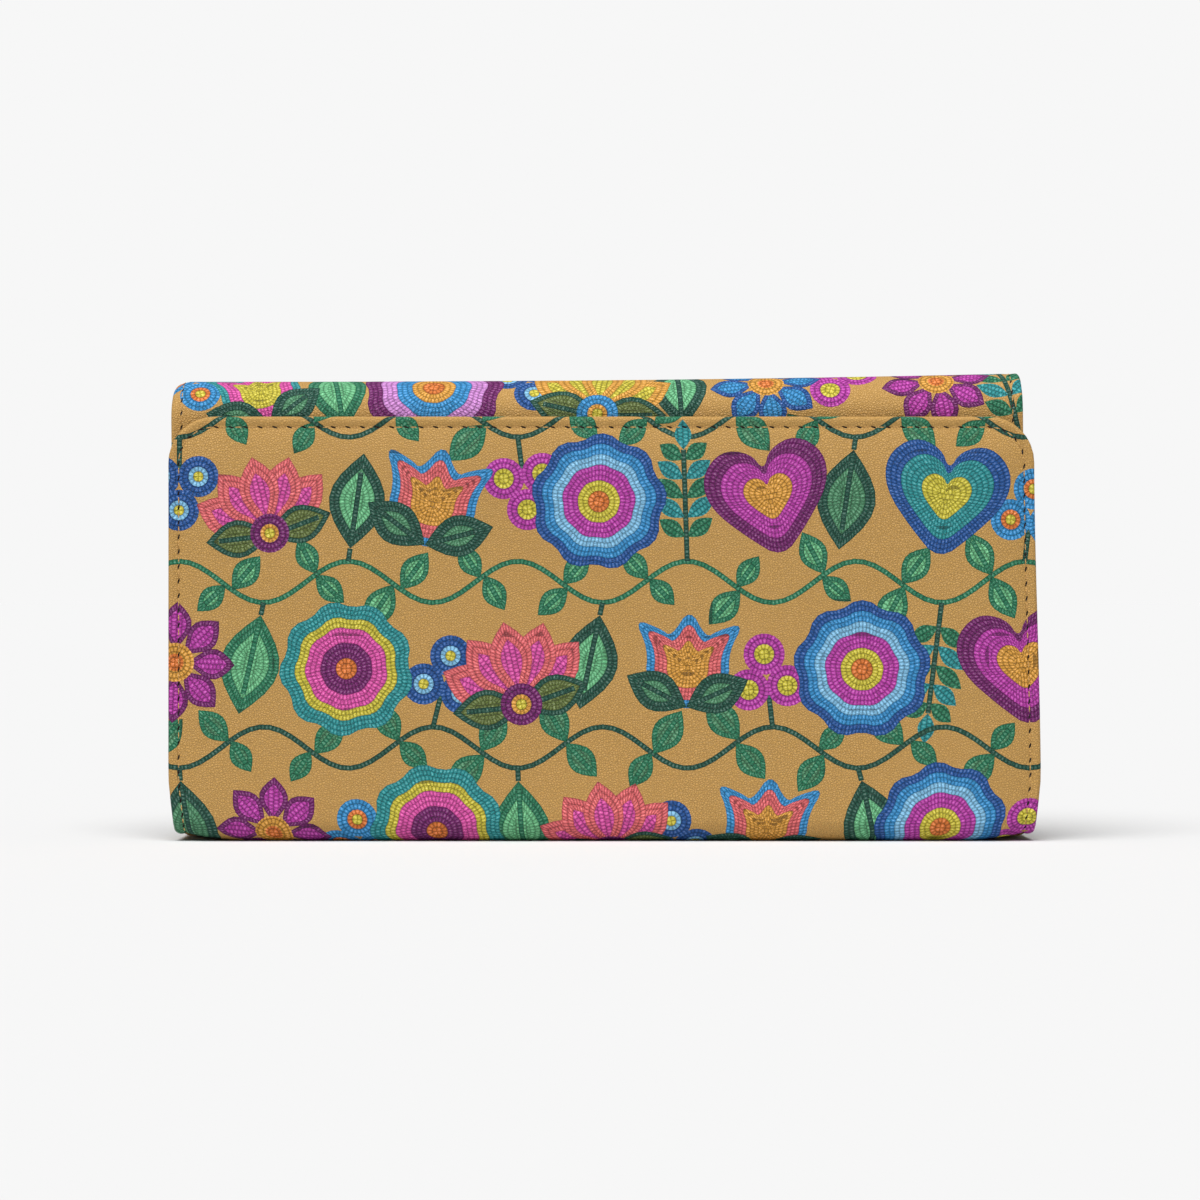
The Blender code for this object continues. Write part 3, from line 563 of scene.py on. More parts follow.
def edge_section(over):
    """The turned edge in section: how far out and how deep it is, at a length past the flat."""
    if over <= EDGE_QUARTER:
        a = over / EDGE_ROUND
        return EDGE_ROUND * math.sin(a), EDGE_ROUND * (1 - math.cos(a))
    over -= EDGE_QUARTER
    if over <= EDGE_FLAT:
        return EDGE_ROUND + EDGE_BELLY * math.sin(math.pi * over / EDGE_FLAT), EDGE_ROUND + over
    over -= EDGE_FLAT
    if over <= EDGE_QUARTER:
        a = over / EDGE_ROUND
        return EDGE_ROUND * math.cos(a), WALL - EDGE_ROUND * (1 - math.sin(a))
    return EDGE_QUARTER - over, WALL


def turned(cut, u, v, depth):
    """Turns the free edge to the inside. Gives the place across and along, and its depth."""
    core_u, core_v, reach, way = reach_of(cut, u, v)
    over = reach - (cut["corner"] - EDGE_ROUND)
    bow = bowed(cut, u, v, reach)
    if over <= 0:
        return u, v, depth + bow
    out, below = edge_section(over)
    out += cut["corner"] - EDGE_ROUND
    return core_u + way.x * out, core_v + way.y * out, below + bow


print(f"the turned edge takes {EDGE_RUN * 1000:.1f} mm of leather")


# %% How the wallet stands
RIPPLE = 0.00010


def leaned(point):
    """The shell leans to the left and stands higher at its right end."""
    x, y, z = point
    rise = TOP_RISE / HEIGHT * max(0.0, 0.5 + x / LENGTH) ** 2.5
    return Vector((x - TOP_SHIFT * z / HEIGHT, y, z * (1 + rise)))


def settled(cut, x, y, z, v):
    """The folded point, as long use has left it."""
    low = fade(z, 0.0, WAIST_TOP)
    half = LENGTH / 2 - WAIST
    if cut is FLAP:
        x *= 1 - low * WAIST / (LENGTH / 2)
        z *= 1 + FLAP_RISE / FLAP_TOP
    elif v < LEAF_START:
        edge = SHELL_LEFT if x < 0 else SHELL_RIGHT
        x *= 1 + low * (half / edge - 1)
    if cut is FLAP or v < LEAF_START:
        spread = fade(z, SPREAD_FULL, SPREAD_NONE)
        drawn = HIGH_IN * (1 - spread) if cut is FLAP else 0.0
        x += (LOW_OUT * spread - drawn) * max(0.0, x / half) ** 2
    if cut is SHELL:
        droop = max(0.0, 1 - (x + SHELL_LEFT) / DROOP_LENGTH) ** 2
        z -= TOP_DROOP * min(1.0, droop) * fade(z, HEIGHT, HEIGHT - TOP_FOLD)
    z += CORNER_LIFT * fade(abs(x), half, half - LIFT_LENGTH) * low
    x *= 1 - CORNER_IN / half * max(0.0, 1 - z / CORNER_IN_TOP) ** 2
    y += RIPPLE * math.sin(34 * x + 0.8) * math.sin(52 * z + 0.4)
    y += RIPPLE / 2 * math.sin(91 * x - 47 * z)
    return leaned((x, y, z)) if cut is SHELL else (x, y, z)


def on_sheet(cut, u, v, depth=0.0):
    """The place in the wallet of a point on the flat sheet."""
    across, along, below = turned(cut, u, v, depth)
    y, z = walk(cut["start"], cut["moves"], along, below)
    return Vector(settled(cut, across, y, z, along))


print("flap edge at", [round(c, 4) for c in on_sheet(FLAP, 0.0, EDGE_ROUND)])

# %% [markdown]
# ## Shapes of the print
#
# The real print is a dense floral one in blue, magenta, coral, yellow and several greens. Here a
# generic design has its colours and scale: scalloped wheels, hearts, bells, pointed stars, berry
# clusters and fern sprigs between waving vines. A printer would lay such a design out as closed
# outlines, each filled with one ink, and that is what is drawn here, in millimetres.
#
# A shape is an outline, an ink, the kind of its bead rows and the frame that they run in: where it
# is, how it is turned and how far the beads are moved on. With an inner outline, its beads are one
# row between the two. Corner cutting makes a smooth outline from a few points.

# %% Inks and outlines
# The needle mark ink is painted shade: near-black brown for the dark inside of each hole.
INKS = {
    "blue": (48, 150, 214), "deep blue": (20, 88, 164), "sky": (136, 202, 242),
    "magenta": (196, 58, 176), "plum": (122, 20, 110), "lilac": (220, 146, 224),
    "pink": (234, 84, 176), "coral": (238, 108, 112), "gold": (232, 166, 60),
    "orange": (236, 128, 48), "yellow": (218, 204, 58), "green": (32, 128, 90),
    "deep green": (16, 84, 66), "light green": (110, 196, 138), "sage": (78, 146, 104),
    "olive": (104, 122, 56), "teal": (34, 154, 158), "needle mark": (44, 28, 16),
}
LINE, RINGS = 1, 2
Shape = namedtuple(
    "Shape", "points ink rows at turn shift inner",
    defaults=(LINE, (0.0, 0.0), 0.0, (0.0, 0.0), None),
)


def oval(radius, steps=18, lobes=0, dip=0.0):
    """A round outline. With lobes, its edge is scalloped."""
    points = []
    for step in range(steps):
        a = 2 * math.pi * step / steps
        r = radius * (1 - dip * (1 - abs(math.cos(lobes * a / 2)))) if lobes else radius
        points.append((r * math.cos(a), r * math.sin(a)))
    return points


def lens(length, width, blunt=1.0, start=0.0, steps=8):
    """A petal or leaf along +X, pointed at both ends. A blunt one is widest further out."""
    side = []
    for k in range(1, steps):
        half = width / 2 * math.sin(math.pi * (k / steps) ** blunt)
        side.append((start + length * k / steps, half))
    return [(start, 0.0)] + [(x, -y) for x, y in side] + [(start + length, 0.0)] + side[::-1]


def softened(points, times=2):
    """Cuts the corners of an outline."""
    for _ in range(times):
        cut = []
        for (ax, ay), (bx, by) in zip(points, points[1:] + points[:1]):
            for near, far in ((0.75, 0.25), (0.25, 0.75)):
                cut.append((ax * near + bx * far, ay * near + by * far))
        points = cut
    return points


def mirrored(half):
    """A closed outline from its right half, given from bottom to top."""
    return softened(half + [(-x, y) for x, y in half[-2:0:-1]])


def placed(shapes, x, y, turn=0.0, size=1.0):
    """Turns, sizes and moves the shapes of a motif."""
    c, s = math.cos(turn), math.sin(turn)

    def move(point):
        return x + size * (point[0] * c - point[1] * s), y + size * (point[0] * s + point[1] * c)

    made = []
    for one in shapes:
        points = [move(point) for point in one.points]
        inner = one.inner and [move(point) for point in one.inner]
        made.append(one._replace(points=points, at=move(one.at), turn=one.turn + turn, inner=inner))
    return made


print(len(INKS), "inks")

# %% [markdown]
# Beads fill a shape in three ways: in rows between its outline and smaller outlines inside it, in
# rings round a middle, or in one straight row. Each next row is moved on by some beads, so that no
# two rows have the same specks. A core that holds one row only has that row along its middle.

# %% Ways to fill a shape with beads
ROW_SHIFT = 17
ONE_ROW = 1.6


def sewn_round(outlines, inks, core=LINE, core_wide=ROW):
    """Rows of beads between outlines that lie in each other. The last ink goes on to the core."""
    made = []
    for number, (outline, inner) in enumerate(zip(outlines, outlines[1:])):
        ink = inks[min(number, len(inks) - 1)]
        made.append(Shape(outline, ink, shift=(ROW_SHIFT * BEAD * number, 0.0), inner=inner))
    ink = inks[min(len(outlines), len(inks)) - 1]
    one_row = core == LINE and core_wide <= ONE_ROW * ROW
    made.append(Shape(outlines[-1], ink, core, shift=(0.0, ROW / 2 if one_row else 0.0)))
    return made


def petal(length, width, inks, blunt=1.0, start=0.0):
    """A petal or leaf along +X whose rows follow its edge."""
    slope = math.atan(math.pi * width / (2 * length))
    tip = ROW / math.sin(slope)
    count = max(1, round((width / ROW - 0.9) / 2))
    outlines = [
        lens(length - 2 * tip * k, width - 2 * ROW * k, blunt, start + tip * k)
        for k in range(count)
    ]
    return sewn_round(outlines, inks, LINE, width - 2 * ROW * (count - 1))


def shrunk(outline, centre, inks):
    """Rows that follow an outline down to a point on its middle line."""
    width = 2 * max(x for x, _ in outline)
    count = int(width / (2 * ROW))
    sizes = [1 - 2 * ROW * k / width for k in range(count)]
    outlines = [[(x * size, centre + (y - centre) * size) for x, y in outline] for size in sizes]
    return sewn_round(outlines, inks, LINE, width * sizes[-1])


def button(radius, rim, core):
    """A round of beads with a second ink in the middle, and a third where there is room."""
    made = [Shape(oval(radius, 20), rim, RINGS), Shape(oval(radius - 2 * ROW, 14), core, RINGS)]
    return made + ([Shape(oval(ROW, 12), "yellow", RINGS)] if radius > 4 * ROW - 0.2 else [])


def stem(points, ink):
    """One row of beads along a line, in straight lengths that share their corners."""
    ways = [Vector((bx - ax, by - ay)) for (ax, ay), (bx, by) in zip(points, points[1:])]
    sides = []
    for before, after in zip(ways[:1] + ways, ways + ways[-1:]):
        way = before.normalized() + after.normalized()
        sides.append(Vector((-way.y, way.x)).normalized() * ROW / 2)
    made, gone = [], 0.0
    for number, along in enumerate(ways):
        (ax, ay), (bx, by) = points[number], points[number + 1]
        near, far = sides[number], sides[number + 1]
        box = [(ax - near.x, ay - near.y), (bx - far.x, by - far.y),
               (bx + far.x, by + far.y), (ax + near.x, ay + near.y)]
        turn = math.atan2(along.y, along.x)
        made.append(Shape(box, ink, LINE, (ax, ay), turn, (gone, ROW / 2)))
        gone += along.length
    return made


print("a petal is", len(petal(18.0, 9.0, ["pink"])), "shapes")

# %% [markdown]
# ## Motifs
#
# Each motif is a small function, drawn with up towards +Y or along +X. Bands of a second and third
# ink inside a shape give the shaded look that beadwork has.

# %% Leaves and sprigs
def leaf(light, dark, size=1.0):
    """A broad leaf along +X with a dark edge and midrib."""
    long, wide = 22.0 * size, 13.0 * size
    rib = stem([(1.0, 0.0), (long * 0.45, 0.0), (long * 0.8, 0.0)], dark)
    return petal(long, wide, [dark] * (2 if wide > 9 else 1) + [light]) + rib


def two_leaves(light, size, y, spread):
    """A leaf on either side of a foot on the middle line, each turned away from upright."""
    return [one for side in (-1, 1) for one in placed(
        leaf(light, "deep green", size), 0.0, y, math.pi / 2 - side * spread,
    )]


def fern(ink):
    """A straight sprig along +X with opposite leaflets."""
    made = []
    for k in range(5):
        for side in (-1, 1):
            long = 8.0 - 0.8 * abs(k - 1.5)
            one = petal(long, 3.7, [ink if k % 2 else "green", "light green"])
            made += placed(one, 2.5 + 4.2 * k, 0.3 * side, side * 0.95)
    made += placed(petal(6.6, 3.7, [ink, "light green"]), 21.5, 0.0)
    return stem([(0.0, 0.0), (7.0, 0.0), (14.0, 0.0), (21.5, 0.0)], "deep green") + made


def berries(ink, core):
    """Three round berries that touch, on the end of a stalk along +X."""
    made = []
    for number in range(3):
        a = number * math.pi / 1.5
        made += placed(button(4.5, ink, core), 8.2 + 4.9 * math.cos(a), 4.9 * math.sin(a))
    return stem([(0.0, 0.0), (5.0, 0.0)], "deep green") + made


print("a fern is", len(fern("green")), "shapes")


# %% Flowers and hearts
def wheel(*bands):
    """A scalloped wheel, 30 mm across, from bands of (rows, ink) and an orange core."""
    inks = [ink for rows, ink in bands for _ in range(rows)] + ["orange"]
    count = len(inks)
    outlines = [oval(15.0 - ROW * k, 45, 9, 0.11 * (1 - k / count)) for k in range(count)]
    return sewn_round(outlines, inks, RINGS)


def star(*inks):
    """Eight narrow pointed petals round a gold button."""
    one = petal(10.6, 6.6, list(inks), 1.2, 2.4)
    petals = [part for k in range(8) for part in placed(one, 0, 0, 2 * math.pi * k / 8)]
    return petals + button(4.2, "gold", "orange")


def heart(rim, band, core):
    """A heart in three bands, 27 mm wide."""
    half = [(0.0, -13.0), (6.5, -7.0), (13.0, 0.6), (13.6, 7.6), (8.3, 12.4), (2.1, 10.6),
            (0.0, 6.1)]
    return shrunk(mirrored(half), 0.6, [rim] * 3 + [band] * 4 + [core])


def bell(rim, band, core):
    """A bell flower with three points, and two leaves at its foot."""
    half = [(0.0, -10.0), (5.8, -9.0), (9.6, -3.4), (9.2, 3.4), (12.6, 10.2), (6.3, 8.0),
            (4.0, 6.3), (0.0, 13.2)]
    flower = shrunk(mirrored(half), -0.5, [rim] * 2 + [band] * 3 + [core])
    return flower + two_leaves("sage", 0.70, -9.5, 1.12)


def fan(rim, inner, cup):
    """A fan of five petals that opens from a small cup between two leaves."""
    made = []
    for k in (-2, 2, -1, 1, 0):
        one = petal(18.0, 9.0, [rim, rim, inner], 1.35)
        made += placed(one, 0.0, -8.0, math.pi / 2 + 0.47 * k)
    made += two_leaves("olive", 0.66, -8.0, 1.45)
    return made + placed(button(4.4, cup, "gold"), 0.0, -7.5)


print("a heart is", len(heart("plum", "lilac", "gold")), "shapes")

# %% [markdown]
# ## Layout of the print
#
# The motifs stand in rows, each row shifted by half a step, with a vine waving between two rows.
# The vine swings away from each motif, and where it does, a leaf, a fern or berries grow into the
# gap. A seeded draw picks small turns and shifts, so that the rows don't look ruled. The vine
# comes first and the motifs last: where two shapes overlap, the later one is printed on top.

# %% Layout
ACROSS = 37.0
DOWN = 36.0
SWING = 4.5
PRINT_ROWS = 10
VINE_LEFT, VINE_STEP, VINE_POINTS = -110, 2.2, 101
FOOT = 2.8
draw = random.Random(11)
motifs = [
    wheel((2, "deep blue"), (2, "blue"), (2, "sky"), (3, "magenta"), (2, "yellow")),
    bell("teal", "pink", "yellow"), star("deep blue", "blue", "sky"),
    fan("coral", "pink", "plum"), heart("plum", "magenta", "gold"),
    wheel((3, "plum"), (3, "lilac"), (3, "blue"), (2, "gold")),
    star("plum", "magenta", "lilac"), bell("blue", "coral", "gold"),
    heart("deep blue", "teal", "yellow"), fan("gold", "yellow", "blue"),
    wheel((3, "teal"), (2, "yellow"), (3, "pink"), (3, "plum")),
]
sprigs = [
    leaf("light green", "green"), berries("blue", "orange"), leaf("sage", "deep green"),
    fern("teal"), berries("magenta", "yellow"), leaf("light green", "deep green", 0.95),
    berries("deep blue", "sky"),
]


def vine_at(u, row):
    """How far down the vine of a row is at a place across."""
    return row * DOWN - SWING * math.cos(math.pi * (2 * u / ACROSS + row))


design = []
for row in range(PRINT_ROWS):
    across = [VINE_LEFT + VINE_STEP * k for k in range(VINE_POINTS)]
    design += stem([(u, vine_at(u, row)) for u in across], "green" if row % 2 else "deep green")
    for number in range(-6, 7):
        u = number * ACROSS / 2
        v = vine_at(u, row)
        up = -1 if (number + row) % 2 == 0 else 1
        gap = row - 1 if up < 0 else row
        turn = up * math.pi / 2 + draw.uniform(-0.3, 0.3)
        sprig = sprigs[(number * 3 + gap * 5) % len(sprigs)]
        if ((number // 2) + gap) % 2 == (0 if up < 0 else 1):
            foot = (u + FOOT * math.cos(turn), v + FOOT * math.sin(turn))
            design += stem([(u, v), foot], "deep green") + placed(sprig, *foot, turn)
        for side in (-1, 1):
            away = u + side * ACROSS / 4 + draw.uniform(0.6, 2.4)
            lean = side * up * 0.9 + (0.0 if side > 0 else math.pi)
            small = leaf("light green" if row % 2 else "sage", "green", draw.uniform(0.36, 0.52))
            design += placed(small, away, vine_at(away, row), lean + draw.uniform(-0.2, 0.2))
for row in range(PRINT_ROWS):
    for number in range(-3, 4):
        u = (number + 0.5 * (row % 2)) * ACROSS + draw.uniform(-1.2, 1.2)
        v = (row + 0.5) * DOWN + draw.uniform(-1.0, 1.0)
        turn = math.pi + draw.uniform(-0.3, 0.3)
        motif = motifs[(number * 4 + row * 7) % len(motifs)]
        design += placed(motif, u, v, turn, draw.uniform(0.92, 1.06))
print(len(design), "printed shapes")

# %% [markdown]
# ## Cutting the leather
#
# A printed sheet needs its outlines in the mesh, because then every field of ink has a sharp edge
# at any distance. Drawing them by hand with the knife would take days. A constrained triangulation
# does it at once: it takes the outlines, the fold lines and the lines along the edge, and gives
# triangles that no line crosses, each with the list of outlines that it lies in. The last of those
# is its ink. The needle marks of the seam are cut in the same way and pushed in, and their
# near-black ink is painted shade inside the holes. The seam lies in a shallow groove. Where a row
# of beads runs between two outlines, each corner of a triangle learns how far along and across the
# row it is.

# %% Lines of the flat sheet
BEND_STEP = 10
ROW_STEP = 0.008
STITCH_PITCH = 0.0032
SEAM_ARC = 12


def edge_line(cut, reach, arc_steps=8):
    """A line at a reach from the core: from the split along one end, the free edge and back."""
    low, high, corner = cut["low"] + cut["corner"], cut["high"] - cut["corner"], cut["corner"]
    split = cut["run"] if cut["free"] < 0 else 0.0
    edge = corner if cut["free"] < 0 else cut["run"] - corner
    points = [(low - reach, split)]
    for centre, first in ((low, 180), (high, 90)):
        for step in range(arc_steps + 1):
            a = math.radians(first - 90 * step / arc_steps)
            points.append((centre + reach * math.cos(a), edge + cut["free"] * reach * math.sin(a)))
    return points + [(high + reach, split)]


def fold_rows(cut):
    """Distances at which the sheet needs a row of points: close together in the folds."""
    rows, gone = [], 0.0
    for size, degrees in cut["moves"]:
        length = size * math.radians(degrees) if degrees else size
        steps = round(degrees / BEND_STEP) if degrees else max(1, round(length / ROW_STEP))
        rows += [gone + length * step / steps for step in range(steps)]
        gone += length
    return rows[1:]


def spaced(line, first, pitch=STITCH_PITCH):
    """Places along a line, pitch apart, each with the line's direction."""
    places, left = [], first
    for (ax, ay), (bx, by) in zip(line, line[1:]):
        along = Vector((bx - ax, by - ay))
        gone = left
        while gone < along.length:
            at = Vector((ax, ay)) + along * gone / along.length
            places.append((at.x, at.y, math.atan2(along.y, along.x)))
            gone += pitch
        left = gone - along.length
    return places


def seam_places(cut, first):
    """Places along the seam of the free edge."""
    return spaced(edge_line(cut, cut["corner"] - STITCH_IN, SEAM_ARC), first)


print("needle marks:", [len(seam_places(cut, STITCH_PITCH / 2)) for cut in (FLAP, SHELL)])


# %% Rows that follow an outline
def nearest(point, outline):
    """How far a point is from an outline, and beside which of its points, from the last on."""
    best, best_at = 1e9, 0.0
    px, py = point
    ax, ay = outline[-1]
    for number, (bx, by) in enumerate(outline):
        dx, dy = bx - ax, by - ay
        t = min(1.0, max(0.0, ((px - ax) * dx + (py - ay) * dy) / (dx * dx + dy * dy)))
        away = math.hypot(px - ax - t * dx, py - ay - t * dy)
        if away < best:
            best, best_at = away, number + t
        ax, ay = bx, by
    return best, best_at


def followed(corners, outline, inner):
    """Places of a face's corners on the row of beads between two outlines of as many points."""
    gone = [0.0]
    for (ax, ay), (bx, by) in zip(outline[-1:] + outline, outline):
        gone.append(gone[-1] + math.hypot(bx - ax, by - ay))
    count, length = len(outline), gone[-1]
    made = []
    for corner in corners:
        from_outer, beside_outer = nearest(corner, outline)
        from_inner, beside_inner = nearest(corner, inner)
        share = from_outer / (from_outer + from_inner + 1e-9)
        lag = (beside_inner - beside_outer + count / 2) % count - count / 2
        whole, part = divmod((beside_outer + lag * share) % count, 1.0)
        whole = min(int(whole), count - 1)
        along = gone[whole] + part * (gone[whole + 1] - gone[whole])
        made.append([along, min(0.98, max(0.02, share)) * ROW])
    far = max(along for along, _ in made)
    fit = max(3, round(length / BEAD)) * BEAD / length
    for place in made:
        if far - place[0] > length / 2:
            place[0] += length
        place[0] *= fit
    return made


def beads_at(printed, flats):
    """Places of a face's corners on the bead rows of what is printed there."""
    if printed is None or not printed.rows:
        return [(0.0, 0.0)] * len(flats)
    if printed.inner:
        places = followed(flats, printed.points, printed.inner)
    else:
        c, s = math.cos(-printed.turn), math.sin(-printed.turn)
        away = [(flat.x - printed.at[0], flat.y - printed.at[1]) for flat in flats]
        places = [(x * c - y * s, x * s + y * c) for x, y in away]
    return [(x + printed.shift[0], y + printed.shift[1]) for x, y in places]


print("halfway along a square:", nearest((0.5, 0.0), [(0, 0), (1, 0), (1, 1), (0, 1)]))


# %% What goes into the cut
MILLI = 1000.0
MARK_LONG, MARK_WIDE, MARK_TURN, MARK_DEPTH = 0.00066, 0.00020, 0.30, 0.00030
# A needle mark's faces take painted shade, the near-black ink of the holes.
MARK = Shape([], "needle mark", 0)
SEAM_LINES = (-0.0012, -0.0004, 0.0, 0.0004, 0.0010)
OUTSIDE_ARC = 10
PRINT_HALF, PRINT_OVER = 100, 0.02
HALF_SHEET, SHEET_OVER = 0.102, 0.01
COLUMN, COLUMNS = 12.0, range(-7, 8)


def cut_lines(cut):
    """Lines along the free edge, across the sheet and down the sheet, in millimetres."""
    bends = [EDGE_QUARTER * k / 3 for k in range(4)] + [EDGE_QUARTER + EDGE_FLAT / 2]
    bends += [EDGE_QUARTER + EDGE_FLAT + EDGE_QUARTER * k / 3 for k in range(4)]
    reaches = [cut["corner"] - EDGE_ROUND + bend for bend in bends]
    reaches += [cut["corner"] - STITCH_IN + away for away in SEAM_LINES]
    lines = [[(x * MILLI, y * MILLI) for x, y in edge_line(cut, reach)] for reach in reaches]
    wide = HALF_SHEET * MILLI
    lines += [[(-wide, row * MILLI), (wide, row * MILLI)] for row in fold_rows(cut)]
    top, foot = -SHEET_OVER * MILLI, (cut["run"] + SHEET_OVER) * MILLI
    return lines + [[(k * COLUMN, top), (k * COLUMN, foot)] for k in COLUMNS]


def cut_input(cut, shift):
    """Points, edges and outlines for the cut, what each outline prints, and the needle marks."""
    points, edges, faces, prints = [], [], [], []

    def add_loop(loop, printed):
        area = sum(a[0] * b[1] - b[0] * a[1] for a, b in zip(loop, loop[1:] + loop[:1]))
        faces.append(list(range(len(points), len(points) + len(loop))))
        points.extend(Vector(p) for p in (loop if area > 0 else loop[::-1]))
        prints.append(printed)

    outside = edge_line(cut, cut["corner"] - EDGE_ROUND + EDGE_RUN, OUTSIDE_ARC)
    add_loop([(x * MILLI, y * MILLI) for x, y in outside], None)
    low, high = (-PRINT_OVER, cut["run"]) if cut["free"] < 0 else (0.0, cut["run"] + PRINT_OVER)
    for one in placed(design, 0.0, -shift):
        inside = [low * MILLI < y < high * MILLI and abs(x) < PRINT_HALF for x, y in one.points]
        if any(inside):
            add_loop(one.points, one)
    marks = set()
    for u, v, turn in seam_places(cut, STITCH_PITCH / 2):
        c, s = math.cos(turn + MARK_TURN), math.sin(turn + MARK_TURN)
        ring = []
        for k in range(8):
            px, py = MARK_LONG * math.cos(k * math.pi / 4), MARK_WIDE * math.sin(k * math.pi / 4)
            ring.append(((u + px * c - py * s) * MILLI, (v + px * s + py * c) * MILLI))
        add_loop(ring, MARK)
        marks.add(len(points))
        points.append(Vector((u * MILLI, v * MILLI)))
    for line in cut_lines(cut):
        edges += [(len(points) + k, len(points) + k + 1) for k in range(len(line) - 1)]
        points.extend(Vector(p) for p in line)
    return points, edges, faces, prints, marks


print("lines over the flap:", len(cut_lines(FLAP)), "and over the shell:", len(cut_lines(SHELL)))


# %% Cut and fold a sheet
SAME_POINT = 1e-4


def new_piece(name, mesh, paint):
    """Puts a mesh into the scene in one material."""
    mesh.materials.clear()
    mesh.materials.append(paint)
    piece = bpy.data.objects.new(name, mesh)
    bpy.context.scene.collection.objects.link(piece)
    return piece


def skin_of(name, cut, shift):
    """Cuts a sheet of leather with the print, and folds it."""
    points, edges, faces, prints, marks = cut_input(cut, shift)
    cut_result = delaunay_2d_cdt(points, edges, faces, 0, SAME_POINT, True)
    verts, _, cut_faces, old_verts, _, old_faces = cut_result
    made = bmesh.new()
    sheet_map = made.loops.layers.uv.new("Sheet")
    bead_map = made.loops.layers.uv.new("Beads")
    ink_layer = made.faces.layers.float_color.new("Ink")
    rows_layer = made.faces.layers.float.new("Rows")
    seam = cut["corner"] - STITCH_IN
    spots = []
    for flat, old in zip(verts, old_verts):
        u, v = flat.x / MILLI, flat.y / MILLI
        reach = reach_of(cut, u, v)[2]
        depth = GROOVE * math.exp(-((reach - seam) / GROOVE_WIDTH) ** 2)
        depth += MARK_DEPTH if marks.intersection(old) else 0.0
        spots.append(made.verts.new(on_sheet(cut, u, v, depth)))
    for loop, old in zip(cut_faces, old_faces):
        if 0 not in old:
            continue
        face = made.faces.new([spots[k] for k in reversed(loop)])
        face.smooth = True
        top = prints[max(old)]
        face[ink_layer] = linear(*INKS[top.ink]) if top else (1, 1, 1, 1)
        face[rows_layer] = top.rows if top else 0
        flats = [verts[k] for k in reversed(loop)]
        for corner, flat, bead in zip(face.loops, flats, beads_at(top, flats)):
            corner[sheet_map].uv = (flat.x / MILLI, (flat.y + shift) / MILLI)
            corner[bead_map].uv = bead
    bmesh.ops.delete(made, geom=[v for v in made.verts if not v.link_faces], context="VERTS")
    mesh = bpy.data.meshes.new(name)
    made.to_mesh(mesh)
    made.free()
    return new_piece(name, mesh, printed_leather)


print("points closer than", SAME_POINT, "mm become one")


# %% The two skins
def picked(piece):
    """Selects one piece only, for the operators that follow."""
    bpy.ops.object.select_all(action="DESELECT")
    piece.select_set(True)
    bpy.context.view_layer.objects.active = piece
    return piece


def finish_piece(piece, *modifiers):
    """Adds and applies modifiers, given as (type, settings)."""
    picked(piece)
    for kind, settings in modifiers:
        change = piece.modifiers.new(kind.lower(), kind)
        for name, value in settings.items():
            setattr(change, name, value)
        bpy.ops.object.modifier_apply(modifier=change.name)
    triangles = sum(len(p.vertices) - 2 for p in piece.data.polygons)
    print(f"{piece.name}: {triangles} triangles")
    return piece


THICK = ("SOLIDIFY", {"thickness": SKIVED, "offset": -1.0})
flap_skin = finish_piece(skin_of("flap_skin", FLAP, 0.0), THICK)
back_skin = finish_piece(skin_of("back_skin", SHELL, SPLIT * MILLI), THICK)
FLAP_FACE + FOLD
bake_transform(flap_skin)
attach(back_skin, "shell")
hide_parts("flap_leather")
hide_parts("shell_leather")

# %% [markdown]
# ## Thread
#
# Between two needle marks the thread lies on the leather as a short rounded bar whose ends dive
# into the marks. One bar is a stretched sphere of few faces. It is copied along the seam, and each
# copy is laid on the folded sheet, outside and inside, where the bobbin thread shows.

# %% Sew the edges
THREAD_LONG, THREAD_WIDE, THREAD_HIGH = 0.00076, 0.00014, 0.00011


def taken_apart(piece):
    """The points and faces of a small shape that is copied many times, always in one order."""
    points = [vertex.co.copy() for vertex in piece.data.vertices]
    faces = sorted(tuple(polygon.vertices) for polygon in piece.data.polygons)
    bpy.data.objects.remove(piece)
    return points, faces


def repeated(name, pattern, copies, paint):
    """One piece of many copies. A copy is (lay, inside_out), and lay(point) places its points."""
    points, faces = [], []
    for lay, inside_out in copies:
        first = len(points)
        points += [lay(point) for point in pattern[0]]
        for face in pattern[1]:
            faces.append(tuple(first + k for k in (face[::-1] if inside_out else face)))
    mesh = bpy.data.meshes.new(name)
    mesh.from_pydata(points, [], faces)
    return new_piece(name, mesh, paint)


bpy.ops.object.select_all(action="DESELECT")
bpy.ops.mesh.primitive_uv_sphere_add(segments=8, ring_count=6, radius=1.0)
bar = taken_apart(bpy.context.object)


def stitch(place, u, v, turn, depth):
    """Lays the points of one stitch on the sheet that place(u, v, depth) folds."""
    c, s = math.cos(turn), math.sin(turn)

    def lay(point):
        a, b = point.x * THREAD_LONG, point.y * THREAD_WIDE
        return place(u + a * c - b * s, v + a * s + b * c, depth + point.z * THREAD_HIGH)

    return lay


def sew(name, place, seams, body, inside_out=False):
    """One piece of all the stitches of some seams. A seam is (places, depth)."""
    copies = [
        (stitch(place, *spot, depth), inside_out) for places, depth in seams for spot in places
    ]
    piece = repeated(name, bar, copies, thread)
    piece.data.shade_smooth()
    if body:
        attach(piece, body)
    return finish_piece(piece)


def edge_seams(cut):
    """The seam along the free edge, outside and inside."""
    return [(seam_places(cut, STITCH_PITCH), depth) for depth in (GROOVE, WALL)]


flap_stitches = sew(
    "flap_stitches", partial(on_sheet, FLAP), edge_seams(FLAP), None,
)
FLAP_FACE + FOLD
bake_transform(flap_stitches)
sew("shell_stitches", partial(on_sheet, SHELL), edge_seams(SHELL), "shell")

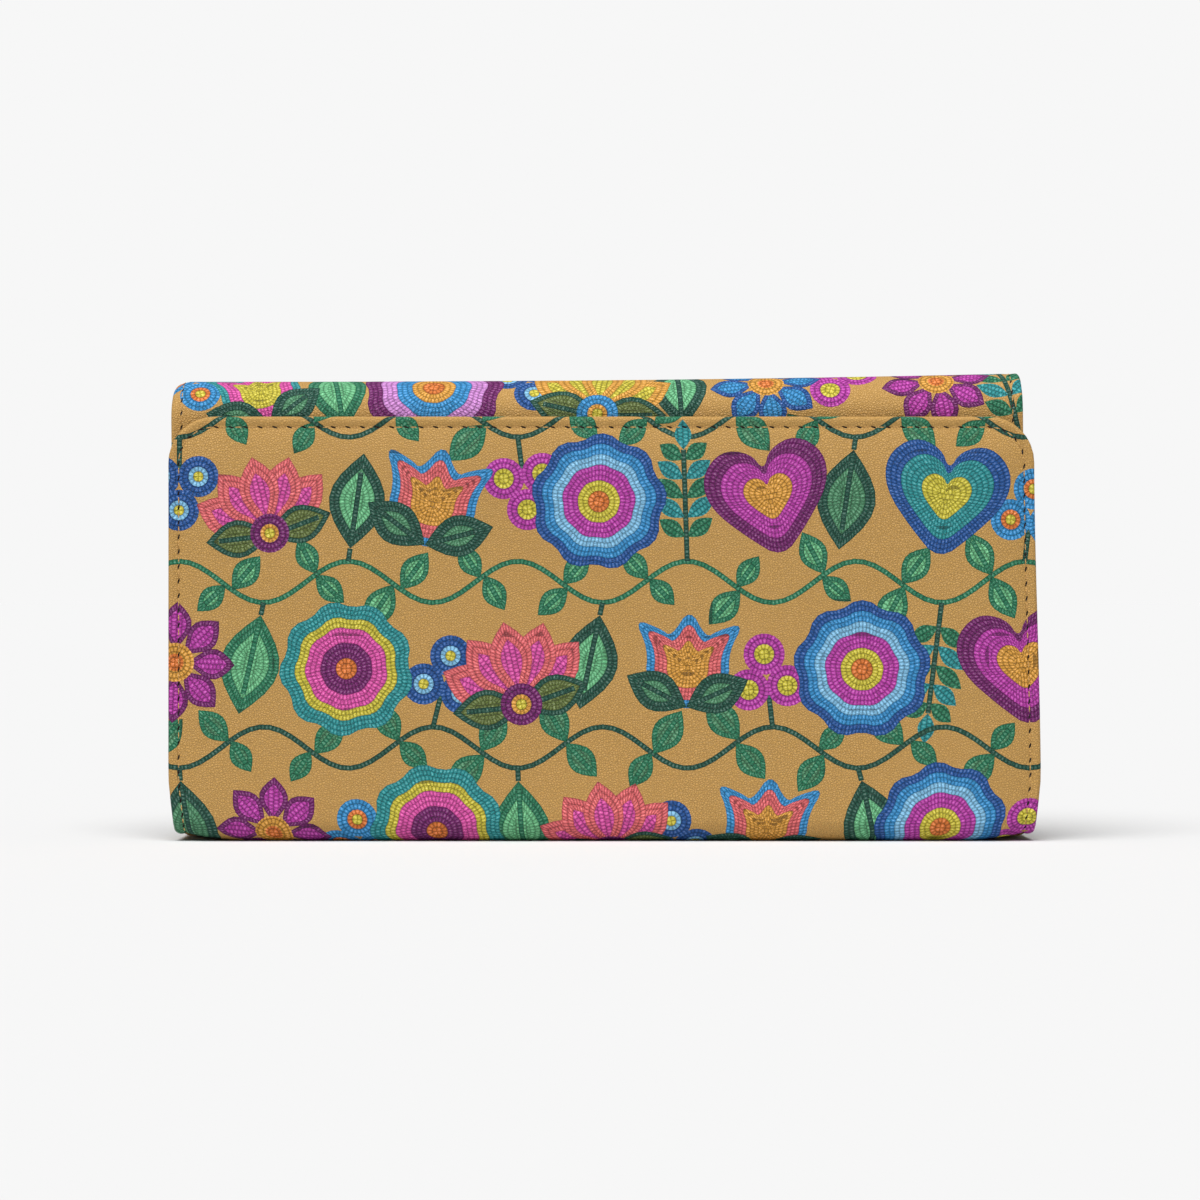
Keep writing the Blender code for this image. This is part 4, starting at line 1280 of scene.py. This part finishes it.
# %% [markdown]
# ## Linings
#
# The lining is thin brown leather, glued to the boards and caught under the turned edge. It starts
# as a flat grid that is laid along the same folded line, only deeper, so that it can't leave the
# outer leather. Solidify then gives it its thickness. The flap's board bows with its leather near
# the sewn edge, so it is laid in the same way.

# %% Lay a sheet
def laid(name, columns, rows, width, height, place):
    """A grid laid where place(u, v) says, with u and v from 0 to 1. Its cloth map is in metres."""
    bpy.ops.object.select_all(action="DESELECT")
    bpy.ops.mesh.primitive_grid_add(x_subdivisions=columns, y_subdivisions=rows, size=1.0)
    piece = bpy.context.object
    piece.name = piece.data.name = name
    cloth_map = piece.data.uv_layers[0]
    cloth_map.name = "Cloth"
    for corner in cloth_map.data:
        corner.uv = (corner.uv.x * width, corner.uv.y * height)
    for vertex in piece.data.vertices:
        vertex.co = place(vertex.co.x + 0.5, vertex.co.y + 0.5)
    return piece


def painted(piece, paint):
    piece.data.materials.clear()
    piece.data.materials.append(paint)


def soft_edges(width, angle=60, segments=2):
    """Rounds the edges that are sharper than an angle."""
    limit = {"limit_method": "ANGLE", "angle_limit": math.radians(angle)}
    return "BEVEL", {"width": width, "segments": segments, **limit}


def outward(piece):
    """Points the faces of a closed piece outwards."""
    picked(piece)
    bpy.ops.object.mode_set(mode="EDIT")
    bpy.ops.mesh.select_all(action="SELECT")
    bpy.ops.mesh.normals_make_consistent(inside=False)
    bpy.ops.object.mode_set(mode="OBJECT")
    bpy.ops.object.shade_smooth_by_angle(angle=math.radians(40))


def thick_sheet(piece, paint, thickness, slot, body, *replaced, offset=1.0, rim=0.00012):
    """Gives a laid sheet its thickness, soft edges and finish."""
    thick = ("SOLIDIFY", {"thickness": thickness, "offset": offset})
    outward(finish_piece(piece, thick, soft_edges(rim)))
    painted(piece, paint)
    if body:
        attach(piece, body)
    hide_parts(*replaced)


def inlay(name, cut, rows, run, depth):
    """A sheet inside the leather, down from the free edge, where its corners are rounded."""
    clear = cut["corner"] - EDGE_CLEAR

    def place(u, v):
        down = run * v
        taken = clear - math.sqrt(clear**2 - (clear - down) ** 2) if down < clear else 0.0
        low, high = cut["low"] + EDGE_CLEAR + taken, cut["high"] - EDGE_CLEAR - taken
        along = EDGE_CLEAR + down if cut["free"] < 0 else cut["run"] - EDGE_CLEAR - down
        return on_sheet(cut, low + (high - low) * (u if cut["free"] < 0 else 1 - u), along, depth)

    return laid(name, 40, rows, LENGTH, run, place)


flap_lining = inlay("flap_lining_sheet", FLAP, 110, SPLIT - EDGE_CLEAR, LINING_DEPTH)
thick_sheet(flap_lining, lining_leather, LINING, "lining_leather", None, "flap_lining")
FLAP_FACE + FOLD
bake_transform(flap_lining)
shell_lining = inlay("shell_lining_sheet", SHELL, 180, SHELL_RUN - EDGE_CLEAR, LINING_DEPTH)
thick_sheet(shell_lining, lining_leather, LINING, "lining_leather", "shell", "shell_lining")
flap_stiffener = inlay("flap_stiffener", FLAP, 40, BOARD_RUN, BOARD_DEPTH)
thick_sheet(flap_stiffener, stiff_board, BOARD, "board", "flap", "flap_board")

# %% [markdown]
# ## Card slots
#
# A card slot is a flat panel of lining leather, open at the top, where its edge is folded over
# twice and so is thicker. Each next panel is shorter, so that every card's edge can be seen. A
# seam in the middle makes two columns, and one along the bottom closes the slots.

# %% Slot panels
MOUTH = 0.0035
PANEL = 0.0007
PANEL_SHARE = 0.66
PANEL_COLUMNS, PANEL_ROWS = 48, 20
SEAM_DIP, SEAM_WIDE, BELLY = 0.00010, 0.0012, 0.00008
SEAM_IN = 0.002
SLOT_PITCH = 0.0008
SLOT_STEP = 0.012


def slot_panel(name, low, high, bottom, top, near, body, seams):
    """One panel, its thick mouth and its stitches. seams says which lines are sewn."""
    askew = leaned if body == "shell" else Vector

    def surface(x, z, depth):
        seam = SEAM_DIP * math.exp(-(x / SEAM_WIDE) ** 2)
        belly = BELLY * math.sin(math.pi * (z - bottom) / (top - bottom))
        belly *= abs(math.sin(2 * math.pi * (x - low) / (high - low)))
        return askew(Vector((x, near + 0.0005 - seam + belly - depth, z)))

    def place(u, v):
        return surface(low + (high - low) * u, bottom + (top - bottom) * v, 0.0)

    piece = laid(name, PANEL_COLUMNS, PANEL_ROWS, high - low, top - bottom, place)
    mouth = piece.vertex_groups.new(name="mouth")
    for vertex in piece.data.vertices:
        row = vertex.index // (PANEL_COLUMNS + 1)
        z = bottom + (top - bottom) * row / PANEL_ROWS
        mouth.add([vertex.index], 1.0 if z > top - MOUTH else 0.0, "REPLACE")
    thick = {"thickness": PANEL, "offset": 0.0, "vertex_group": "mouth",
             "thickness_vertex_group": PANEL_SHARE}
    outward(finish_piece(piece, ("SOLIDIFY", thick), soft_edges(0.00015)))
    painted(piece, lining_leather)
    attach(piece, body)
    left, right, hem = low + SEAM_IN, high - SEAM_IN, top - MOUTH + 0.0006
    lines = {
        "middle": [(0.0, bottom + SEAM_IN), (0.0, top - 0.001)],
        "mouth": [(left, hem), (right, hem)],
        "bottom": [(left, bottom + SEAM_IN), (right, bottom + SEAM_IN)],
    }
    places = [spot for seam in seams for spot in spaced(lines[seam], STITCH_PITCH / 2)]
    sew(name + "_stitches", surface, [(places, -0.0003)], body, True)
    return piece


panels = [
    ("leaf", 3, -SHELL_LEFT + 0.003, SHELL_RIGHT - 0.003, 0.012, HEIGHT - 0.03135, LEAF_INSIDE),
    ("flap", 2, -0.092, 0.092, 0.015, FLAP_TOP - 0.0305, FLAP_INSIDE),
]
for part, count, low, high, bottom, top, inside in panels:
    for number in range(count):
        near = inside + 0.0003 + SLOT_PITCH * number
        body = "flap" if part == "flap" else "shell"
        seams = ("middle", "mouth", "bottom") if number == count - 1 else ("middle", "mouth")
        piece = slot_panel(f"{part}_slot_panel_{number + 1}", low, high, bottom,
                           top - SLOT_STEP * number, near, body, seams)
        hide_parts(f"{part}_card_slot_{number + 1}")

# %% [markdown]
# ## Coin pocket and gussets
#
# The coin pocket is one length of cloth folded over at the top, with its mouth down and its ends
# pinched and sewn together. Cloth between two seams never lies quite flat, so a little noise gives
# it soft puckers. The gussets are bellows: they fold inwards, and open when the bills need room.

# %% Pocket
POCKET_BOTTOM, POCKET_TOP, POCKET_HALF = 0.017, 0.088, 0.090
POCKET_MIDDLE, POCKET_DEEP = 0.00405, 0.0031
POCKET_SHEET = 0.0008
POCKET_RUN = POCKET_TOP - POCKET_DEEP - POCKET_BOTTOM
POCKET_MOVES = [(POCKET_RUN, 0), (POCKET_DEEP, 180), (POCKET_RUN, 0)]
POCKET_LENGTH = 2 * POCKET_RUN + math.pi * POCKET_DEEP
PINCH, PINCH_LENGTH = 0.69, 0.010
PUCKER = 0.00018
END_SEAM, MOUTH_SEAM, MOUTH_HALF = 0.0016, 0.0045, 0.083


def pinched(x):
    """How far the ends of the pocket are pressed together."""
    return 1 - PINCH * fade(abs(x), POCKET_HALF, POCKET_HALF - PINCH_LENGTH)


def on_pocket(x, run, depth):
    """The place in the wallet of a point on the pocket's flat cloth."""
    start = (POCKET_MIDDLE + POCKET_DEEP, POCKET_BOTTOM, math.pi / 2)
    y, z = walk(start, POCKET_MOVES, run, depth)
    pucker = PUCKER * noise.noise(Vector((x * 90, y * 60, z * 70)))
    side = (y - POCKET_MIDDLE) * pinched(x)
    return leaned(Vector((x, POCKET_MIDDLE + side + pucker, z)))


pocket = laid("coin_pocket_cloth", 72, 60, 2 * POCKET_HALF, POCKET_LENGTH,
              lambda u, v: on_pocket(POCKET_HALF * (2 * u - 1), POCKET_LENGTH * v, 0.0))
thick_sheet(pocket, pocket_cloth, POCKET_SHEET, "pocket_cloth", "shell", "coin_pocket")
seams = []
for side in (-1, 1):
    x = side * (POCKET_HALF - END_SEAM)
    seams.append([(x, 0.003), (x, POCKET_RUN - 0.001)])
    seams.append([(x, POCKET_LENGTH - POCKET_RUN + 0.001), (x, POCKET_LENGTH - 0.003)])
for run in (MOUTH_SEAM, POCKET_LENGTH - MOUTH_SEAM):
    seams.append([(-MOUTH_HALF, run), (MOUTH_HALF, run)])
places = [spot for line in seams for spot in spaced(line, 0.001)]
sew("coin_pocket_stitches", on_pocket, [(places, 0.0)], "shell")


# %% Gussets
GUSSET, GUSSET_FAR = 0.0004, 0.0110
GUSSET_WIDTH, GUSSET_HEIGHT, GUSSET_BOTTOM = 0.0215, 0.068, 0.018
GUSSET_IN = 0.0095


def on_gusset(side, u, v):
    """A point of a bellows that folds inwards between the pocket and the back."""
    x = side * (POCKET_HALF - 0.0002 - GUSSET_IN * (1 - abs(2 * u - 1) ** 1.4))
    near = POCKET_MIDDLE + POCKET_DEEP * (1 - PINCH) + 0.0004
    y = near + (GUSSET_FAR - near) * u
    z = GUSSET_BOTTOM + GUSSET_HEIGHT * v
    pucker = 0.0001 * noise.noise(Vector((x * 200, y * 200, z * 60)))
    return leaned(Vector((x, y + pucker, z)))


for name, side in (("left", -1), ("right", 1)):
    gusset = laid(f"bill_gusset_{name}_cloth", 16, 36, GUSSET_WIDTH, GUSSET_HEIGHT,
                  partial(on_gusset, side))
    thick_sheet(gusset, pocket_cloth, GUSSET, "pocket_cloth", "shell", f"bill_gusset_{name}",
                offset=0.0, rim=0.00008)

# %% [markdown]
# ## Zip
#
# The tapes are ribbed cloth sewn into the pocket's mouth. One tooth is a small block whose head is
# narrower than its foot, bevelled, and it is copied along both rows, each row shifted by half a
# step so that the teeth mesh. The slider and its pull are cut from the solids' own shape, merged
# and given soft edges, because their outline is right already.

# %% Tapes
TAPE, TAPE_HALF, TAPE_LOW, TAPE_HIGH = 0.0004, 0.0855, 0.0143, 0.0263
TAPE_HEIGHT = TAPE_HIGH - TAPE_LOW
TAPE_APART, TAPE_PINCH = 0.0020, 0.0018
ZIP_SIDES = (("near", -1), ("far", 1))


def on_tape(side, u, v):
    """A point of a tape, which follows the pinched ends of the pocket."""
    x = TAPE_HALF * (2 * u - 1)
    y = POCKET_MIDDLE + side * (TAPE_APART - TAPE_PINCH * (1 - pinched(x)))
    return leaned(Vector((x, y, TAPE_LOW + TAPE_HEIGHT * v)))


for name, side in ZIP_SIDES:
    tape = laid(f"zip_tape_{name}_cloth", 60, 8, 2 * TAPE_HALF, TAPE_HEIGHT, partial(on_tape, side))
    thick_sheet(tape, zip_cloth, TAPE, "zip_cloth", "shell", f"zip_tape_{name}", rim=0.00008)


# %% Teeth
TOOTH_SIZE = (0.00095, 0.00120, 0.00150)
HEAD_WIDE, HEAD_HIGH = 0.72, 0.80
TOOTH_PITCH = 0.0016
ROW_HALF, ROW_APART = 0.0792, 0.00115
ROW_MIDDLE = (0.0124 + 0.0140) / 2
bpy.ops.object.select_all(action="DESELECT")
bpy.ops.mesh.primitive_cube_add(size=1.0)
tooth = bpy.context.object
tooth.name = "zip_tooth"
tooth.scale = TOOTH_SIZE
bpy.ops.object.transform_apply(location=False, rotation=False, scale=True)
for vertex in tooth.data.vertices:
    if vertex.co.y < 0:
        vertex.co.x *= HEAD_WIDE
        vertex.co.z *= HEAD_HIGH
tooth = taken_apart(finish_piece(tooth, ("BEVEL", {"width": 0.00016, "segments": 2})))


def tooth_at(side, x, point):
    """Lays a point of the tooth that stands at x in a row."""
    away = side * (ROW_APART + point.y)
    return leaned(Vector((x + point.x, POCKET_MIDDLE + away, ROW_MIDDLE + point.z)))


for name, side in ZIP_SIDES:
    first = 0.25 if side > 0 else 0.75
    steps = range(int(2 * ROW_HALF / TOOTH_PITCH))
    across = [-ROW_HALF + TOOTH_PITCH * (number + first) for number in steps]
    copies = [(partial(tooth_at, side, x), side < 0) for x in across]
    teeth = repeated(f"zip_teeth_{name}", tooth, copies, warm_metal)
    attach(teeth, "shell")
    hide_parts(f"zip_row_{name}")
    finish_piece(teeth)
    bpy.ops.object.shade_smooth_by_angle(angle=math.radians(40))


# %% Metal parts with soft edges
MERGE = 0.00001


def soft_metal(name, source, body, width):
    """A solid's shape as one clean mesh with bevelled edges."""
    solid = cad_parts[source]
    mesh = solid.data.copy()
    mesh.transform(solid.matrix_world)
    piece = picked(new_piece(name, mesh, warm_metal))
    bpy.ops.object.mode_set(mode="EDIT")
    bpy.ops.mesh.select_all(action="SELECT")
    bpy.ops.mesh.remove_doubles(threshold=MERGE)
    bpy.ops.mesh.dissolve_limited(angle_limit=math.radians(1))
    bpy.ops.object.mode_set(mode="OBJECT")
    finish_piece(piece, soft_edges(width, 40, 3))
    bpy.ops.object.shade_smooth_by_angle(angle=math.radians(40))
    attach(piece, body)
    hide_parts(source)


soft_metal("zip_slider_body", "zip_slider", "runner", 0.00022)
soft_metal("zip_pull_tab", "zip_pull", "runner", 0.00025)
soft_metal("zip_end_stop_left", "zip_stop_left", "shell", 0.0002)
soft_metal("zip_end_stop_right", "zip_stop_right", "shell", 0.0002)
soft_metal("snap_socket", "snap_case", "shell", 0.00018)
soft_metal("snap_post", "snap_stud", "flap", 0.00018)

# %% [markdown]
# ## What stays as it is
#
# The other boards, the washers and the magnet are plain flat pieces on the real wallet too, so the
# solids stay and only get their finishes.

# %% Finishes of the solids
KEPT = {
    stiff_board: ("back_board", "leaf_board", "spine_board"),
    steel: ("snap_case_washer", "snap_stud_washer"),
    dark_magnet: ("snap_magnet",),
}
for paint, names in KEPT.items():
    for name in names:
        painted(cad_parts[name], paint)
print("kept solids:", sum(len(names) for names in KEPT.values()))
